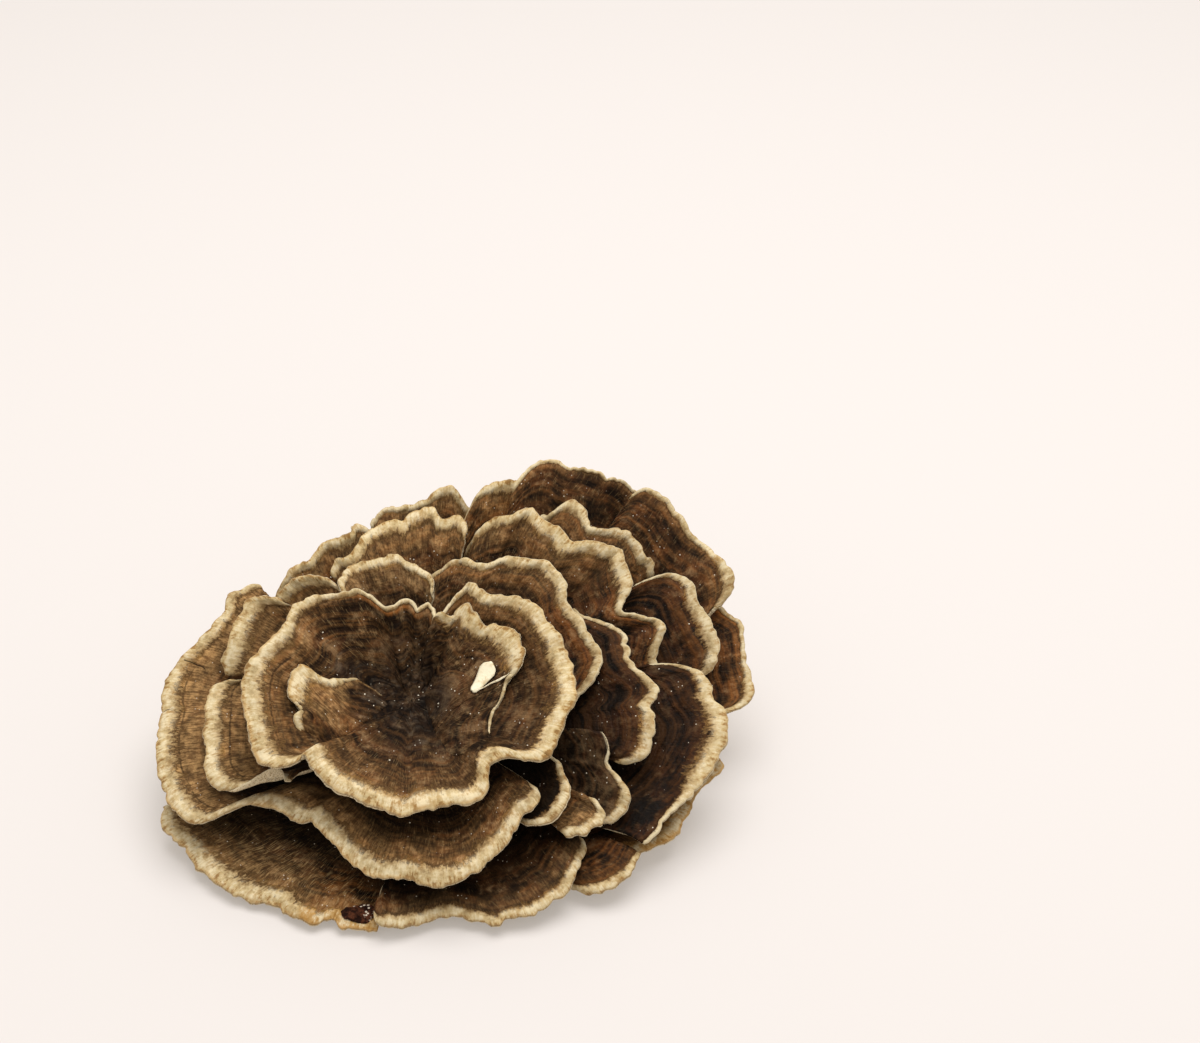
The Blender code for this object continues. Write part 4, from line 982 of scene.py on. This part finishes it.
def footMesh():
    # the profile spun round, with lumps and furrows, and kept below the crown
    bm = bmesh.new()
    marks, radii = zip(*foot["profile"])
    heights = [0.0, 0.3] + list(np.linspace(0.9, marks[-1], foot["rings"]))
    points = [(0.0, 0.0)] + [(ring / 10 * radii[0] * 0.999, 0.0) for ring in range(1, 10)]
    points += [(float(np.interp(z, marks, radii)), z) for z in heights]
    points += [(foot["topRadius"], marks[-1]), (0.0, marks[-1])]
    verts = [bm.verts.new((x * mm, 0, z * mm)) for x, z in points]
    edges = [bm.edges.new(pair) for pair in zip(verts, verts[1:])]
    bmesh.ops.spin(bm, geom=verts + edges, axis=(0, 0, 1), cent=(0, 0, 0), steps=foot["steps"],
                   angle=2 * math.pi, use_merge=True)
    bmesh.ops.remove_doubles(bm, verts=bm.verts[:], dist=1e-6)
    crown = treeOf([sheets["crown_cap"][..., :3].tolist()])
    for vert in bm.verts:
        x, y, z = (part / mm for part in vert.co)
        angle, radius = math.atan2(y, x), math.hypot(x, y)
        swell = sum(size * math.sin(count * angle + turn) for count, size, turn in foot["lumps"])
        rough = 0.35 * math.sin(23 * angle + 0.5 * z) * math.sin(0.9 * z + 3 * angle)
        rough += 0.22 * math.sin(41 * angle - 0.8 * z + 1.3) + 0.15 * math.sin(2.3 * z + 7 * angle)
        growth = radius * (1 + swell) + (rough * min(z / 2, 1) if z > 0 and radius > 3 else 0)
        spot = Vector((growth * math.cos(angle), growth * math.sin(angle), 0))
        spot.z = min(z, roomAt(crown, spot, flesh["rootThickness"] / 2, True) or z)
        vert.co = spot * mm
    bmesh.ops.recalc_face_normals(bm, faces=bm.faces[:])
    return bm


def footMaterial(name):
    # rings and rays on the cut face, bark round it
    paint = Paint(name)
    body = paint.body()
    x, y, z = paint.split(body)
    reach = (x * x + y * y) ** 0.5
    wander = paint.noise(body, 90, 3, 0.6)
    ring = paint.noise(paint.joined(reach * 1000 + (wander - 0.5) * 2.2, 0.3), 1.5, 2, 0.6)
    rays = paint.noise(body, 900, 3, 0.7)
    bark = paint.noise(paint.joined(x * 3, y * 3, z * 0.8), 260, 4, 0.65)
    cutColours, barkColours = ([colour(*parts) for parts in foot[key]] for key in ("cut", "bark"))
    cut = paint.mix(*cutColours, paint.step(ring * 0.7 + rays * 0.3, 0.36, 0.62))
    skin = paint.mix(*barkColours, paint.step(bark, 0.35, 0.65))
    skin = paint.mix(skin, colour(*foot["worn"]), paint.step(wander, 0.55, 0.75) * 0.5)
    face = paint.step(z * 1000, 0.35, 0.1)
    height = bark * (1 - face) + (ring * 0.3 + rays * 0.2) * face
    return paint.finish(Base_Color=paint.mix(skin, cut, face), Roughness=0.85,
                        Normal=paint.bump(height, distance=0.0006, strength=0.8))


flake = dict(
    low=(326, 10.7), top=(353.7, 12.7), stalk=(345.5, 16.7), arch=0.35, stalkArch=0.1, above=0.35,
    thickness=0.12, stalkShare=0.08,
    halfWidth=((0, 0.35), (0.08, 0.8), (0.3, 1.15), (0.55, 1.55), (0.75, 1.9), (0.9, 1.6), (1, 0.5)),
    pale=(232, 220, 188), stained=(192, 168, 122),
)


def flakeMesh(upper):
    # a dry leaf scale and its stalk, lying on the crown's right lobe
    ground = treeOf([upper.tolist()])
    bm = bmesh.new()
    low, top, stalk = (place(*flake[key], 0) for key in ("low", "top", "stalk"))
    at, halves = zip(*flake["halfWidth"])
    for end, share, arch in ((top, 1.0, flake["arch"]), (stalk, flake["stalkShare"], flake["stalkArch"])):
        made = bmesh.ops.create_grid(bm, x_segments=24, y_segments=8, size=1)["verts"]
        side = Vector((low.y - end.y, end.x - low.x, 0)).normalized()
        for vert in made:
            along, across = (vert.co.x + 1) / 2, vert.co.y
            half = share * float(np.interp(along, at, halves))
            spot = low.lerp(end, along) + side * across * half
            hit = ground.ray_cast(spot + Vector((0, 0, 90)), Vector((0, 0, -1)))[0]
            spot.z = (hit.z if hit else low.z) + flake["above"] + arch * (1 - across * across)
            vert.co = spot * mm
    bmesh.ops.solidify(bm, geom=bm.faces[:], thickness=flake["thickness"] * mm)
    bmesh.ops.recalc_face_normals(bm, faces=bm.faces[:])
    return bm


def flakeMaterial(name):
    paint = Paint(name)
    body = paint.body()
    grain, stain = paint.noise(body, 900, 3, 0.7), paint.noise(body, 260, 2, 0.5)
    tint = paint.mix(colour(*flake["pale"]), colour(*flake["stained"]),
                     paint.step(grain * 0.6 + stain * 0.4, 0.48, 0.68))
    return paint.finish(Base_Color=tint, Roughness=0.55,
                        Normal=paint.bump(grain, distance=0.0002, strength=0.8))


tornCorner = dict(
    spot=(254, 42.8, 2.7), size=(3.0, 2.5, 0.6), turn=-18, rough=0.9, lumps=(3, 7, 13),
    dark=(34, 18, 12), brown=(88, 50, 32), crumbs=(222, 206, 184),
    crumbsFrom=(-0.0532, -0.0520),      # pale crumbs lie past here, as x + y in metres
)


def cornerMesh():
    # the torn corner where the two lowest caps meet
    bm = bmesh.new()
    bmesh.ops.create_icosphere(bm, subdivisions=5, radius=1)
    turn = Matrix.Rotation(math.radians(tornCorner["turn"]), 3, "Z")
    for vert in bm.verts:
        x, y, z = vert.co
        swell = sum(math.sin(f * x + 2 * f) * math.sin(f * y + f) * math.sin(f * z + 3) / f
                    for f in tornCorner["lumps"])
        grow = 1 + tornCorner["rough"] * swell
        spot = turn @ Vector([part * size for part, size in zip(vert.co * grow, tornCorner["size"])])
        vert.co = (spot + place(*tornCorner["spot"])) * mm
    return bm


def cornerMaterial(name):
    paint = Paint(name)
    body = paint.body()
    grain = paint.noise(body, 800, 4, 0.7)
    x, y, z = paint.split(body)
    crumb = paint.step(paint.cells(body, 1300)[0], 0.40, 0.26)
    crumb = crumb * paint.step(x + y + (grain - 0.5) * 0.004, *tornCorner["crumbsFrom"])
    dark, brown, crumbs = (colour(*tornCorner[key]) for key in ("dark", "brown", "crumbs"))
    tint = paint.mix(dark, brown, paint.step(grain, 0.40, 0.62))
    return paint.finish(Base_Color=paint.mix(tint, crumbs, crumb), Roughness=0.9, Specular_IOR_Level=0.05,
                        Normal=paint.bump(grain, distance=0.0012, strength=1))


sheets = settledSheets()
print("the caps are settled")
velvet = capMaterial("turkey tail velvet")
for number, (name, cap) in enumerate({**caps, **lobes}.items()):
    shape = grown(name, cap, sheets[name], 11.0 * number)
    finished(name + "_grown", capMesh(shape), velvet, name)
    if name == "crown_lobe_right":
        finished("dry_flake", flakeMesh(shape[1]), flakeMaterial("dry flake"), None)
finished("torn_corner", cornerMesh(), cornerMaterial("torn flesh"), None)
print("the caps are grown")
finished("foot_grown", footMesh(), footMaterial("foot wood"), "foot")
print("the foot is made")

stage = dict(
    floor=(179, 173, 170), floorSize=4, glow=(255, 248, 238), glowing=0.27,     # the floor shines a little
    sky=(1.0, 0.985, 0.97, 1.0), skyStrength=0.85,
    window=5.6, windowSize=0.75, windowPlace=(0.08, 0.15, 0.76), windowAim=(0, 0, 0.02),  # watts, metres
    tilt=34, lens=70, sensor=36, away=0.475,
    cutMiddle=(-166 / 2333, -259.5 / 2333),     # right and up in the picture, over its distance
)

floorPaint = Paint("plain floor")
floorPaint.finish(Base_Color=colour(*stage["floor"]), Roughness=0.9, Specular_IOR_Level=0.1,
                  Emission_Color=colour(*stage["glow"]), Emission_Strength=stage["glowing"])
bm = bmesh.new()
bmesh.ops.create_grid(bm, x_segments=1, y_segments=1, size=stage["floorSize"])
pieceOf("floor", bm, floorPaint.material)

lamp = bpy.data.lights.new("window", "AREA")
lamp.shape, lamp.size, lamp.energy = "DISK", stage["windowSize"], stage["window"]
light = inScene("window", lamp)
light.location = stage["windowPlace"]
toAim = Vector(stage["windowAim"]) - Vector(stage["windowPlace"])
light.rotation_euler = toAim.to_track_quat("-Z", "Y").to_euler()

world = bpy.data.worlds.new("studio")
world.use_nodes = True
world.node_tree.nodes["Background"].inputs[0].default_value = stage["sky"]
world.node_tree.nodes["Background"].inputs[1].default_value = stage["skyStrength"]
bpy.context.scene.world = world
bpy.context.scene.view_settings.view_transform = "Standard"

tilt = math.radians(stage["tilt"])
right, forward = Vector((1, 0, 0)), Vector((0, math.cos(tilt), -math.sin(tilt)))
up = Vector((0, math.sin(tilt), math.cos(tilt)))
ray = forward + right * stage["cutMiddle"][0] + up * stage["cutMiddle"][1]
lens = bpy.data.cameras.new("camera")
lens.lens, lens.sensor_width, lens.clip_start = stage["lens"], stage["sensor"], 0.01
camera = inScene("camera", lens)
turn = Matrix((right, up, -forward)).transposed().to_4x4()
camera.matrix_world = Matrix.Translation(-ray * stage["away"]) @ turn
bpy.context.scene.camera = camera
print("the stage is set")
